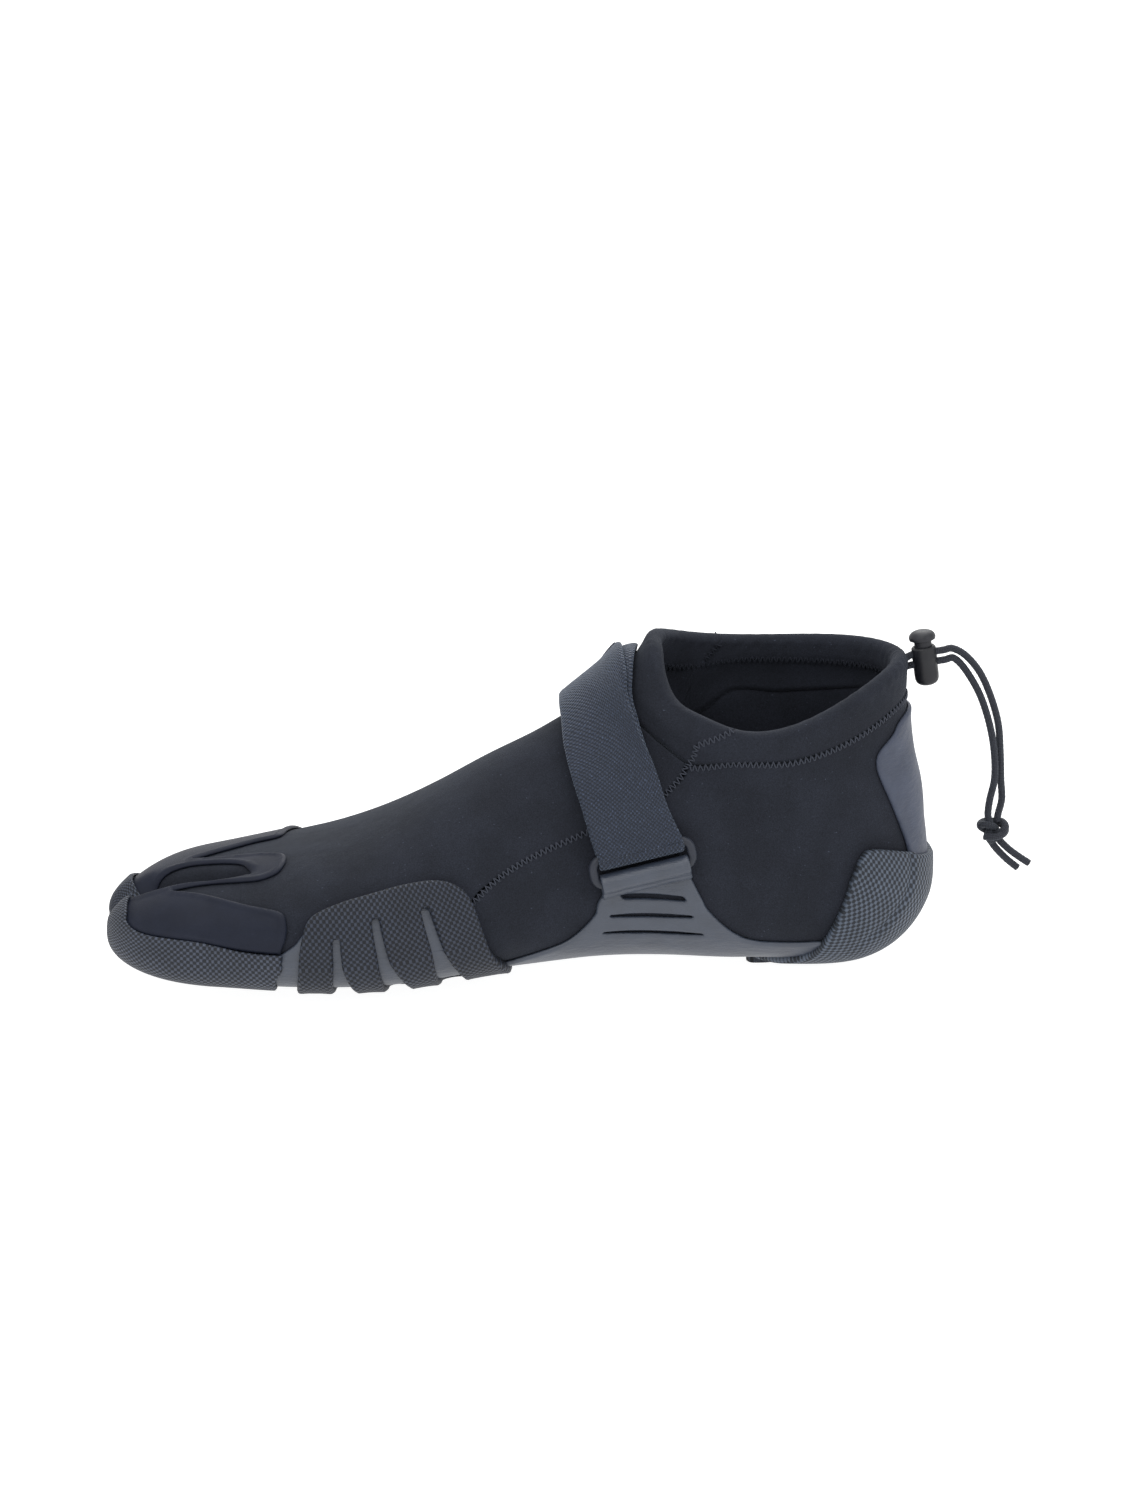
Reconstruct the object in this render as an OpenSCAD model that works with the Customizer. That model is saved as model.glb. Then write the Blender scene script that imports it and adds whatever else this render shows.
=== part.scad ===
// Low neoprene reef boot for the right foot, with a glued rubber sole, a cinch
// strap over the instep and a drawcord round the ankle.
// +X runs from toe to heel, the inner (big toe) side is at -Y, and +Z is up.

/* [Boot] */
// Length of the upper, toe to heel, without rubber
boot_length = 280; // [266:1:294]
// Thickness of the neoprene panels
neoprene = 3; // [2:0.5:3.5]
// Thickness of the footbed
insole_t = 3; // [2:0.5:4]
// Thickness of the glued smooth rubber
smooth_t = 1.2; // [0.8:0.1:1.4]
// Thickness of the textured rubber
grip_t = 1.6; // [1.2:0.1:2]
// Thickness of the flat tread pads
tread_t = 1.2; // [1:0.1:1.4]

/* [Strap] */
// Thickness of the strap webbing
strap_t = 2; // [1.6:0.1:2.2]
// Diameter of the two long bars of the ring
bar_d = 3.2; // [2.8:0.1:3.4]
// Distance between the two bars of the ring
bar_pitch = 8.6; // [8:0.1:9.5]
// Clear width inside the ring
ring_w = 28; // [27:0.5:30]

/* [Drawcord] */
// Diameter of the elastic cord
cord_d = 2.5; // [2:0.1:2.6]
// Outer diameter of the cord lock
lock_d = 8.4; // [8:0.1:9]
// How far the button of the cord lock is pushed in
button_travel = 2; // [1.5:0.1:2]

/* [Hidden] */

$fn = 48;

// ---- The shape of the upper ------------------------------------------------
// The outer face of the neoprene is a row of rings that fan round the ankle:
// the first is the rim of the collar, they swing down over the heel, and the
// last ones stand upright in the toe. One row of the table is one ring:
// top point x, z; bottom point x, z; half width inner, outer side; middle line
// y at bottom, top; height share of the widest level; squareness of upper,
// lower half; droop of the ring's inner, outer side.
base_length = 280;
RINGS = [
    [187, 114, 272, 107, 34, 34,  0,   0, 0.50, 2.1, 2.0, 22,  6],
    [182, 107, 272,  96, 34, 34,  0,   0, 0.50, 2.1, 2.0, 19,  5],
    [177, 102, 275,  78, 33, 33,  0,   0, 0.50, 2.1, 2.0, 15,  4],
    [172,  97, 280,  52, 33, 33,  0,   0, 0.42, 2.1, 2.0,  8,  3],
    [165,  92, 280,  22, 34, 34,  0,   0, 0.36, 2.1, 2.2,  4,  2],
    [157,  87, 258,   5.2, 36, 36, 0, -1, 0.34, 2.1, 2.8,  2,  0],
    [146,  81, 216,   4, 36, 37,  3,  -3, 0.34, 2.1, 3.0,  0,  0],
    [131,  74, 174,   6, 38, 40,  5,  -5, 0.32, 2.1, 2.8,  0,  0],
    [111,  65, 134,   6, 44, 45,  2,  -8, 0.30, 2.1, 2.8,  0,  0],
    [ 88,  54,  95,   4, 48, 49,  0, -10, 0.30, 2.2, 3.2,  3, -6],
    [ 60,  46,  62,   4, 46, 51,  0, -10, 0.32, 2.3, 3.4,  2, -8],
    [ 32,  40,  32,   5, 39, 47, -2,  -8, 0.38, 2.5, 3.2,  0, -8],
    [  0,  35,   0,   8, 32, 38, -6,  -8, 0.45, 2.6, 2.8,  0, -8]
];
// The foremost point of the toe, where the last ring closes
TIP_Y = -10;
TIP_Z = 20;
// Squareness of the toe's rounding
TOE_ROUND = 2.5;
// How much more the collar droops towards the instep than at the heel
DROOP_SKEW = 0.6;
LAST = len(RINGS) - 1;
TOE_RING = LAST - 1;
// Split between the big toe and the others: middle y, half width, depth, and
// the x where it fades out
SPLIT_Y = -15;
SPLIT_W = 4;
SPLIT_DEPTH = 3.6;
SPLIT_X = 46;

k = boot_length / base_length;
// Moves the boot so that the origin is under the middle of its box
lift = tread_t + 0.65;
shift = [-141 * k, 3.5, lift];

function spline(list, u) =
    let (n = len(list), i = max(0, min(n - 2, floor(u))), t = u - i,
         p1 = list[i], p2 = list[i + 1],
         p0 = i > 0 ? list[i - 1] : 2 * p1 - p2,
         p3 = i < n - 2 ? list[i + 2] : 2 * p2 - p1)
    p1 + 0.5 * t * (p2 - p0 + t * (2 * p0 - 5 * p1 + 4 * p2 - p3 + t * (3 * (p1 - p2) + p3 - p0)));

function corner(list, u) =
    let (i = max(0, min(len(list) - 2, floor(u)))) list[i] + (list[i + 1] - list[i]) * (u - i);

function smooth(x) = let (t = max(0, min(1, x))) t * t * (3 - 2 * t);

// [ring values, how open the ring still is]
function ring_at(u) =
    u <= TOE_RING ? [spline([for (i = [0:TOE_RING]) RINGS[i]], u), 1] :
    let (a = min(1, u - TOE_RING) * 90,
         r = pow(pow(cos(a), TOE_ROUND) + pow(sin(a), TOE_ROUND), -1 / TOE_ROUND))
    [RINGS[TOE_RING] + (RINGS[LAST] - RINGS[TOE_RING]) * r * sin(a), r * cos(a)];

// Point of the outer face: u runs from the collar's rim to the toe, and v is
// the angle round the ring, 0 on top, 90 on the inner side, 180 underneath
function face(u, v) =
    let (g = ring_at(u), q = g[0], f = g[1], c = cos(v), s = sin(v),
         n = (q[9] * (1 + c) + q[10] * (1 - c)) / 2,
         r = pow(pow(abs(c), n) + pow(abs(s), n), -1 / n),
         dx = q[0] - q[2], dz = q[1] - q[3], h = norm([dx, dz]), ex = dx / h, ez = dz / h,
         up = h * (q[8] + (c > 0 ? 1 - q[8] : q[8]) * r * c),
         droop = (s > 0 ? q[11] : q[12]) * pow(r * s, 2) * (1 + DROOP_SKEW * c) * f,
         mid = q[6] + (q[7] - q[6]) * (1 + r * c) / 2,
         y = mid - (s > 0 ? q[4] : q[5]) * r * s,
         z = q[3] + ez * up + ex * droop)
    [q[2] + ex * up - ez * droop, TIP_Y + (y - TIP_Y) * f, TIP_Z + (z - TIP_Z) * f];

function outward(u, v) =
    let (e = 0.01, w = 0.4, a = face(max(u - e, -0.6), v), b = face(min(u + e, LAST - 0.002), v),
         n = cross(b - a, face(u, v + w) - face(u, v - w)))
    n / norm(n);

function split_depth(p) =
    SPLIT_DEPTH * exp(-pow((p[1] - SPLIT_Y) / SPLIT_W, 2)) * smooth((SPLIT_X - p[0]) / 34) *
    smooth((p[2] - 19) / 11);

// Point at a distance off the outer face, in the boot's own frame
function skin(u, v, off) =
    let (p = face(u, v)) (p + outward(u, v) * (off / k - split_depth(p))) * k + shift;

// ---- Sheets ----------------------------------------------------------------
// A sheet is ruled between two edges: each rib is [u, v, u, v], from one edge
// to the other, and the ribs are joined smoothly, or straight where sharp.
function ruled(ribs, along, across, sharp = false) =
    [for (i = [0:along]) let (q = i / along * (len(ribs) - 1), r = sharp ? corner(ribs, q) : spline(ribs, q))
        [for (j = [0:across]) let (t = j / across)
            [r[0] + (r[2] - r[0]) * t, r[1] + (r[3] - r[1]) * t]]];

// The same ribs on the other side of the boot
function mirrored(ribs) = [for (r = ribs) [r[0], 360 - r[1], r[2], 360 - r[3]]];
function reversed(list) = [for (i = [len(list) - 1:-1:0]) list[i]];
// Ribs from the inner side under the sole to the outer side
function both_sides(ribs) = concat(ribs, reversed(mirrored([for (i = [0:len(ribs) - 2]) ribs[i]])));

function faces(uv, off) = [for (row = uv) [for (p = row) skin(p[0], p[1], off)]];

// Solid between two grids of points. Cells in open, [row, row, column, column],
// are left out. wrap joins the last row to the first, and tip closes the far
// end of every row at one point of each face.
module slab(outer, inner, open = [], wrap = false, tip = []) {
    n = len(outer);
    m = len(outer[0]);
    rows = wrap ? n : n - 1;
    a = [for (r = outer) for (p = r) p];
    b = [for (r = inner) for (p = r) p];
    N = n * m;
    function cell(i, j) =
        j < 0 || j >= m - 1 ? false :
        !wrap && (i < 0 || i >= rows) ? false :
        len([for (o = open) if (i >= o[0] && i <= o[1] && j >= o[2] && j <= o[3]) 1]) == 0;
    function id(i, j) = ((i + n) % n) * m + j;
    function quad(p, q, r, s) = [[p, q, r], [p, r, s]];
    function wall(p, q) = quad(p, p + N, q + N, q);
    mid_i = floor(rows / 2);
    e1 = outer[mid_i + 1][0] - outer[mid_i][0];
    e2 = outer[mid_i][1] - outer[mid_i][0];
    flip = cross(e1, e2) * (outer[mid_i][0] - inner[mid_i][0]) > 0;
    tris = [for (i = [0:rows - 1]) for (j = [0:m - 2]) if (cell(i, j))
        let (p = id(i, j), q = id(i + 1, j), r = id(i + 1, j + 1), s = id(i, j + 1))
        each concat(
            quad(p, s, r, q), quad(p + N, q + N, r + N, s + N),
            cell(i - 1 + (wrap ? n : 0), j) || (wrap && cell((i - 1 + n) % n, j)) ? [] : wall(p, s),
            cell(wrap ? (i + 1) % n : i + 1, j) ? [] : wall(r, q),
            cell(i, j - 1) ? [] : wall(q, p),
            cell(i, j + 1) || (len(tip) > 0 && j == m - 2) ? [] : wall(s, r))];
    cap = len(tip) == 0 ? [] : [for (i = [0:rows - 1]) let (p = id(i, m - 1), q = id(i + 1, m - 1))
        each [[p, 2 * N, q], [p + N, q + N, 2 * N + 1]]];
    all_tris = concat(tris, cap);
    polyhedron(concat(a, b, tip), flip ? all_tris : [for (t = all_tris) [t[0], t[2], t[1]]]);
}

module sheet(ribs, along, across, lo, hi, open = [], sharp = false) {
    uv = ruled(ribs, along, across, sharp);
    slab(faces(uv, hi), faces(uv, lo), open);
}

// A sheet that closes over the toe. half lists [u, v] of its edge from under the
// sole to the top, and rays lists the v of its rays. Six cells of every ray are
// on the rounding of the toe, and the others go back to the edge.
module toe_cap(half, rays, back, lo, hi) {
    near = LAST - 0.05;
    at = concat(rays, [0], [for (i = [len(rays) - 1:-1:1]) -rays[i]]);
    table = [for (p = half) [p[1], p[0]]];
    uv = [for (v = at) let (u = lookup(abs(v), table), bend = max(TOE_RING, u + 0.25 * (near - u)))
        concat([for (j = [0:5]) [near - (near - bend) * j / 6, v]],
            [for (j = [0:back]) [bend + (u - bend) * j / back, v]])];
    outer = [for (row = uv) reversed(row)];
    slab(faces(outer, hi), faces(outer, lo), wrap = true,
        tip = [skin(LAST - 0.004, 0, hi), skin(LAST - 0.004, 0, lo)]);
}
BASE_RAYS = [180, 165, 152, 143, 137, 131, 125, 119, 113, 107, 99, 92, 89.5, 88.2, 87.2,
    86.2, 85, 83.8, 82.2, 80.5, 77,
    73.5, 70, 60, 48, 32, 16];
RAND_RAYS = [180, 165, 152, 143, 137, 131, 125, 119, 113, 107, 99, 92, 84, 82, 80, 77, 70, 60, 48, 32, 16];

// Round bar along a list of points; side is a direction across the bar
module tube(path, d, side, sides = 8) {
    n = len(path);
    rings = [for (i = [0:n - 1])
        let (t = path[min(i + 1, n - 1)] - path[max(i - 1, 0)], across = is_list(side[0]) ? side[i] : side,
             x = cross(t, across), a = x / norm(x), y = cross(t, a), b = y / norm(y))
        [for (j = [0:sides - 1]) path[i] + d / 2 * (a * cos(360 * j / sides) + b * sin(360 * j / sides))]];
    body = [for (i = [0:n - 2]) for (j = [0:sides - 1])
        let (p = i * sides + j, q = i * sides + (j + 1) % sides, r = q + sides, s = p + sides)
        each [[p, q, r], [p, r, s]]];
    ends = [[for (j = [sides - 1:-1:0]) j], [for (j = [0:sides - 1]) (n - 1) * sides + j]];
    polyhedron([for (r = rings) each r], [for (t = concat(body, ends)) reversed(t)]);
}

function resample(list, n) = [for (i = [0:n]) spline(list, i / n * (len(list) - 1))];

// ---- Neoprene panels -------------------------------------------------------
// Lower edge of the cuff's rear part, from the seam to the back
CUFF_EDGE = [[3.5, 54], [2.2, 76], [1.9, 100], [1.6, 124], [1.3, 150], [1.2, 180]];
VAMP_RAYS = [180, 167, 156, 147.5, 146.4, 145.2, 144, 142.5, 140, 136.5, 132, 127, 121, 114, 107, 99,
    92, 88, 84, 77, 71, 64, 57, 49, 41, 33, 24, 16, 8];
module vamp() {
    half = [[11.42, 180], [11.4, 147.5], [11.05, 146.4], [10.5, 145.2], [9.9, 144], [9.2, 142.5], [8.7, 140],
        [8.5, 136.5],
        [8.34, 100], [8.14, 72], [7.64, 64], [6.62, 60], [5.6, 56], [4.5, 52.8], [3.54, 51.8],
        [3.45, 34], [3.43, 0]];
    color("#1c1d22") toe_cap(half, VAMP_RAYS, 7, -neoprene, 0);
}

// The quarter runs from the seam and the cuff back to the centre of the heel
QUARTER = [
    [8.46, 138.5, 8.26, 138], [8.28, 100, 7.6, 144], [8.06, 73, 7, 145], [7.58, 66, 6.4, 148],
    [6.6, 62, 5.9, 150], [5.6, 58, 5.5, 152], [4.5, 54, 5.05, 156], [3.54, 55, 4.85, 165],
    [2.9, 65, 4.76, 175], [2.24, 77, 4.7, 179], [1.94, 100, 3.7, 179.2], [1.64, 124, 2.7, 179.2],
    [1.34, 150, 1.9, 179.2], [1.24, 179, 1.3, 179.2]];
module quarter_medial() color("#1c1d22") sheet(QUARTER, 30, 9, -neoprene, 0);
module quarter_lateral() color("#1c1d22") sheet(mirrored(QUARTER), 30, 9, -neoprene, 0);

module sole_panel() {
    ribs = [[11.34, 151, 11.34, 209], [10.8, 149.5, 10.8, 210.5], [10, 149, 10, 211],
        [8.5, 144.5, 8.5, 215.5], [7, 148, 7, 212],
        [5.6, 154, 5.6, 206], [5, 160, 5, 200], [4.86, 174, 4.86, 186]];
    color("#26272d") sheet(ribs, 26, 8, -neoprene, 0);
}

// The cuff is one strip folded over the drawcord. Its profile runs up the
// outside, over the rim and down the inside: [share of the way up, outer
// offset, inner offset]; above 1 it rounds the rim.
FOLD_R = 0.24;
TUNNEL = 1.9;
CUFF_T = 1.1;
function fold_profile(leg) = let (mid = -TUNNEL - CUFF_T)
    concat([for (i = [0:3]) [leg * (1 - i / 3) + FOLD_R * i / 3, 0, -CUFF_T]],
        [for (a = [30:30:150]) [FOLD_R * (1 - sin(a)), mid + (TUNNEL + CUFF_T) * cos(a),
            mid + TUNNEL * cos(a), FOLD_R * (1 - sin(a) * TUNNEL / (TUNNEL + CUFF_T))]],
        [for (i = [0:2]) [FOLD_R + (min(leg, 1.1) - FOLD_R) * i / 2, 2 * mid, 2 * mid + CUFF_T]]);

module cuff(ribs, stops, open = []) {
    grid = [for (s = stops) let (r = spline(ribs, s * (len(ribs) - 1)))
        [for (p = fold_profile(r[0])) let (w = p[0] / r[0], v = r[2] + (r[1] - r[2]) * min(1, w))
            [p[0], v, p[1], len(p) > 3 ? p[3] : p[0], p[2]]]];
    slab([for (row = grid) [for (p = row) skin(p[0], p[1], p[2])]],
        [for (row = grid) [for (p = row) skin(p[3], p[1], p[4])]], open);
}

// Each rib is [u of the lower edge, v there, v at the rim]
module cuff_front()
    color("#22232a") cuff([[3.46, -53, -67.4], [3.38, -34, -44], [3.36, 0, 0], [3.38, 34, 44],
        [3.46, 53, 67.4]],
        [for (i = [0:18]) i / 18]);

module cuff_rear() {
    half = [[3.44, 55.5, 68.6], [2.16, 77, 88], [1.86, 100, 106], [1.56, 124, 128], [1.28, 150, 152]];
    ribs = concat(half, [[1.18, 180, 180]], [for (r = reversed(half)) [r[0], 360 - r[1], 360 - r[2]]]);
    // The cord comes out through a slit in the middle of the back
    slit = 0.023;
    stops = [for (i = [0:13]) (0.5 - slit) * i / 13];
    color("#22232a") cuff(ribs, concat(stops, [for (s = reversed(stops)) 1 - s]), open = [[13, 13, 1, 3]]);
}

// Raised thread bead over each seam that isn't covered
module seam_stitching() {
    lines = [[[7.7, 65.3], [7.2, 63.1], [6.8, 61.6]], [[4.5, 53], [4, 52.5], [3.5, 54]],
        [[3.5, 54], [1.8, 61], [0.5, 66.5]], [for (i = [1:5]) CUFF_EDGE[i]]];
    for (side = [1, -1], line = lines) {
        uv = resample(line, line[0][0] < 3 ? 9 : 4);
        color("#33343c") tube([for (p = uv) skin(p[0], side * min(p[1], 178.5), 0.85)], 1,
            [for (p = uv) outward(p[0], side * min(p[1], 178.5))], 5);
    }
}

// Tape glued inside over the vamp seams
module seam_tape() {
    ribs = [[4.2, 49, 4.2, 58], [5.6, 53, 5.6, 61], [6.6, 57, 6.6, 65], [7.6, 61, 7.6, 69.5]];
    color("#101114") {
        sheet(ribs, 9, 1, -neoprene - 0.8, -neoprene - 0.4);
        sheet(mirrored(ribs), 9, 1, -neoprene - 0.8, -neoprene - 0.4);
    }
}

// Web of neoprene that closes the split between the big toe and the others
module toe_divider() {
    profile = [[20, 15], [46, 13], [46, 20], [36, 28], [26, 26], [20, 21]];
    color("#1c1d22") translate(shift + [0, SPLIT_Y * k, 0]) rotate([90, 0, 0])
        linear_extrude(2, center = true) polygon(profile * k);
}

module insole() {
    ribs = [[11.12, 142, 11.12, 220], [10.6, 139, 10.6, 223], [9.6, 138, 9.6, 222], [8.5, 140, 8.5, 220],
        [7, 146, 7, 214], [5.8, 146, 5.8, 214], [5, 152, 5, 208], [4.75, 168, 4.75, 192]];
    color("#3a3c44") sheet(ribs, 22, 8, -neoprene - 0.8 - insole_t, -neoprene - 0.8);
}

// ---- Rubber ----------------------------------------------------------------
GLUE = 0.75;
smooth_top = GLUE + smooth_t;
grip_low = smooth_top + 0.5;
grip_top = grip_low + grip_t;

// Smooth rubber under the whole forefoot and round the toe
module sole_base() {
    half = [[8.52, 180], [8.5, 150], [8.46, 122], [8.42, 100], [8.42, 92], [8.7, 88.5], [9.4, 87.5],
        [10, 86.5], [10.5, 85.4], [10.9, 83.4], [11.2, 80.5], [11.45, 77], [11.65, 70], [11.8, 48],
            [11.8, 0]];
    color("#4b4e5a") toe_cap(half, BASE_RAYS, 5, GLUE + 0.35, smooth_top);
}

// Smooth rubber on each side of the ball of the foot, seen through the slots
module flank_base() {
    ribs = [[8.32, 84, 8.32, 78], [8.42, 86, 8.46, 68], [8.72, 86, 8.74, 62], [9.2, 85.5, 9.2, 60.5],
        [9.6, 85, 9.6, 64], [9.9, 84, 9.88, 74]];
    color("#4b4e5a") for (r = [ribs, mirrored(ribs)]) sheet(r, 12, 4, GLUE, smooth_top);
}

// Textured rubber round the toe and under it
module toe_rand() {
    half = [[10.08, 180], [10.08, 150], [10.08, 116], [10.1, 84], [10.6, 81], [11.06, 76], [11.4, 68],
        [11.54, 48],
        [11.52, 28], [11.46, 14], [11.42, 0]];
    color("#34363f") toe_cap(half, RAND_RAYS, 4, grip_low + 0.28, grip_top + 0.2);
}

// Smooth rubber over the toes: a wing on each side and a finger with a window
// along the split. Ribs go from the rand back to the free edge.
module toe_overlay() {
    ribs = [
        [10.2, 79, 10.03, 79], [10.65, 77, 10.02, 70], [11.1, 71, 10.03, 62], [11.38, 62, 10.2, 54],
        [11.44, 50, 10.7, 46], [11.43, 40, 11.15, 32],
        [11.41, 32, 10.5, 32], [11.38, 26, 10.12, 26], [11.36, 16, 10.03, 17], [11.35, 8, 10.15, 8],
            [11.35, 2, 10.6, 2],
        [11.36, -6, 11.1, -5],
        [11.39, -16, 10.5, -12], [11.42, -28, 9.98, -16], [11.44, -44, 9.96, -34], [11.38, -60, 9.98, -52],
        [11.1, -72, 10, -66], [10.65, -77, 10.02, -74], [10.2, -79, 10.03, -79]];
    color("#2f323c") sheet(ribs, 54, 6, GLUE + 0.3, smooth_top + 0.1, open = [[21, 25, 1, 4]], sharp = true);
}

// Textured rubber under the ball of the foot and up both sides, cut by three
// flex slots on each side
module forefoot_outsole() {
    cols = [8.12, 8.28, 8.43, 8.55, 8.74, 8.92, 9.04, 9.23, 9.42, 9.54, 9.72, 9.9];
    // v of the top edge at each column
    tops = [74, 62, 57, 55, 54, 54, 54.5, 55.5, 57, 59, 63, 74];
    // Share of the way down at each row
    rows = [0, 0.06, 0.12, 0.19, 0.27, 0.36, 0.46, 0.57, 0.68, 0.8, 0.9, 1];
    half = len(rows) - 1;
    uv = [for (i = [0:2 * half]) [for (j = [0:len(cols) - 1])
        let (v = tops[j] + (180 - tops[j]) * rows[i > half ? 2 * half - i : i])
        [cols[j], i > half ? 360 - v : v]]];
    cuts = [for (j = [2, 5, 8]) each [[j == 8 ? 3 : 2, 7, j, j], [2 * half - 8, 2 * half - (j == 8 ? 4 : 3),
        j, j]]];
    color("#34363f") slab(faces(uv, grip_top), faces(uv, grip_low + 0.1), open = cuts);
}

// Smooth rubber under the arch, drawn up each side to the strap, with three
// slots a side that let it stretch. Each rib is one row of the sheet.
module arch_wrap() {
    half = [[6.66, 79, 5.62, 77], [6.77, 83, 5.76, 83], [6.84, 86, 5.81, 87], [6.9, 89, 5.84, 91],
        [7, 93, 5.86, 95], [7.06, 96, 5.87, 98.5], [7.2, 102, 5.86, 104], [7.36, 108, 5.81, 110.5],
        [7.47, 112, 5.76, 114.5], [7.6, 117, 5.64, 119], [7.8, 122, 5.42, 123], [8.02, 127, 5.16, 127],
        [8.15, 132, 5.04, 132], [8.28, 138, 4.96, 138], [8.36, 145, 4.9, 145], [8.4, 154, 4.86, 154],
        [8.42, 167, 4.84, 167], [8.42, 180, 4.84, 180]];
    rows = 2 * (len(half) - 1);
    open = [for (r = [1, 4, 7]) each [[r, r, 2, 8], [rows - 1 - r, rows - 1 - r, 2, 8]]];
    color("#5a5d6a") sheet(both_sides(half), rows, 11, GLUE, smooth_top, open, sharp = true);
}

// Textured rubber cup round the heel
module heel_cup() {
    half = [[4.05, 110, 4.3, 110], [3.66, 115, 4.74, 116], [3.5, 124, 5.1, 124], [3.46, 132, 5.35, 132],
        [3.46, 146, 5.7, 146], [3.5, 162, 5.9, 162], [3.52, 180, 6, 180]];
    color("#34363f") sheet(both_sides(half), 24, 10, grip_low, grip_top);
}

// Smooth rubber patch up the back of the heel, tucked under the heel cup
module heel_tab() {
    ribs = [[1.45, 160, 1.45, 200], [1.75, 148, 1.75, 212], [2, 134, 2, 226], [2.35, 130, 2.35, 230],
        [2.9, 132, 2.9, 228], [3.3, 139, 3.3, 221], [3.68, 144, 3.68, 216]];
    color("#5a5d6a") sheet(ribs, 12, 7, GLUE, smooth_top);
}

// Flat pads under the ball and the heel, the faces that the boot stands on
module pad(x, y, length, width, round_r) {
    translate([(x + shift[0] / k) * k, y * k + shift[1], 0]) linear_extrude(tread_t)
        offset(round_r) square([length - 2 * round_r, width - 2 * round_r], center = true);
}
module forefoot_tread()
    color("#2a2c33") for (p = [[68, 3, 11, 46], [84, 3, 12, 50], [100, 3, 11, 46]])
        pad(p[0], p[1], p[2], p[3], 3);
module heel_tread()
    color("#2a2c33") for (p = [[222, 1, 10, 26], [236, 1, 11, 30], [250, 1, 10, 24]])
        pad(p[0], p[1], p[2], p[3], 3);

// ---- Strap and ring --------------------------------------------------------
// The ring lies on the inner side of the midfoot. Its frame: X along the bars,
// Y up the foot, Z out of the boot.
RING_UV = [5.98, 73];
ring_c = skin(RING_UV[0], RING_UV[1], 0);
ring_z = outward(RING_UV[0], RING_UV[1]);
ring_dir = skin(5.36, 71, 0) - skin(6.67, 74.5, 0);
ring_x = let (a = ring_dir - ring_z * (ring_dir * ring_z)) a / norm(a);
ring_y = cross(ring_z, ring_x);
// Height of the bars' centres above the neoprene
BAR_H = 4.9;
TAB_T = 1;

module on_ring() {
    multmatrix([
        [ring_x[0], ring_y[0], ring_z[0], ring_c[0]],
        [ring_x[1], ring_y[1], ring_z[1], ring_c[1]],
        [ring_x[2], ring_y[2], ring_z[2], ring_c[2]], [0, 0, 0, 1]]) children();
}
function ring_point(y, z, x = 0) = ring_c + ring_x * x + ring_y * y + ring_z * z;

// Extrudes an outline drawn in the ring's Y and Z, centred along the bars
module across_ring(width) on_ring() rotate([90, 0, 90]) linear_extrude(width, center = true) children();

module ring() {
    arm_x = (ring_w + bar_d) / 2;
    color("#2b2d35") on_ring() translate([0, 0, BAR_H]) for (s = [-1, 1]) {
        translate([0, s * bar_pitch / 2, 0]) rotate([0, 90, 0]) cylinder(d = bar_d, h = 2 * arm_x,
            center = true);
        translate([s * arm_x, 0, 0]) rotate([90, 0, 0]) cylinder(d = bar_d, h = bar_pitch, center = true);
        for (y = [-1, 1]) translate([s * arm_x, y * bar_pitch / 2, 0]) sphere(d = bar_d);
    }
}

// Rubber tab folded round the lower bar and glued down on itself
module ring_tab() {
    r = bar_d / 2 + 0.1;
    color("#5a5d6a") across_ring(ring_w - 1.6) translate([-bar_pitch / 2, BAR_H]) {
        difference() {
            circle(r + TAB_T);
            circle(r);
            translate([-20, -10]) square([20, 20]);
        }
        polygon([[0.3, r + TAB_T], [-4.5, r + TAB_T - 0.5], [-9.5, -1.9], [-9.5, -3.5], [-5, -2.9],
            [0.3, -r - TAB_T],
            [0.3, -r], [-5, -2.1], [-7.5, -2.5], [-4.5, r - 0.6], [0.3, r]]);
    }
}

// Strap lines: [u, v] of the toe-side and the heel-side edge, then the height
// above the neoprene, from the ring over the instep to the outer side
STRAP = [
    [6.5, 66, 5.24, 62, 1.6], [6.2, 54, 4.65, 54, 1.6], [5.95, 42, 3.9, 43, 2.2], [5.7, 28, 2.9, 29, 3.4],
    [5.52, 12, 2.2, 13, 4.2], [5.46, -4, 2, -4, 4.2], [5.55, -20, 2.3, -20, 3.6], [5.75, -34, 3.2, -35, 2.6],
    [6.05, -48, 4.2, -48, 1.9], [6.4, -62, 5.1, -60, 1.9], [6.7, -76, 5.5, -74, 2.3],
        [6.86, -83, 5.7, -82, 2.4]];
STRAP_GAP = 0.35;
STRAP_W = ring_w - 1.4;
STEPS = 33;
layer_low = BAR_H - bar_d / 2 - 0.2 - strap_t;
layer_high = BAR_H + bar_d / 2 + 0.15;

// One point of the strap: i steps along, t across, at base above the lower
// layer. The ring end lies square to the bar, at lead above the neoprene.
function strap_point(i, t, base, lead) =
    let (q = i / STEPS * (len(STRAP) - 1), r = spline(STRAP, q), near = smooth(q / 1.2),
         a = skin(r[0] + (r[2] - r[0]) * t, r[1] + (r[3] - r[1]) * t, r[4] + base))
    ring_point(bar_pitch / 2 + 9 * q, lead, (t - 0.5) * STRAP_W) * (1 - near) + a * near;

module strap_layer(steps, base, lead, t = strap_t)
    slab([for (i = steps) [for (j = [0:5]) strap_point(i, j / 5, base + t, lead + t)]],
        [for (i = steps) [for (j = [0:5]) strap_point(i, j / 5, base, lead)]]);

module strap_base() color("#3a3d48") strap_layer([for (i = [0:STEPS]) i], 0, layer_low);
tail_base = strap_t + STRAP_GAP;
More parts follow.
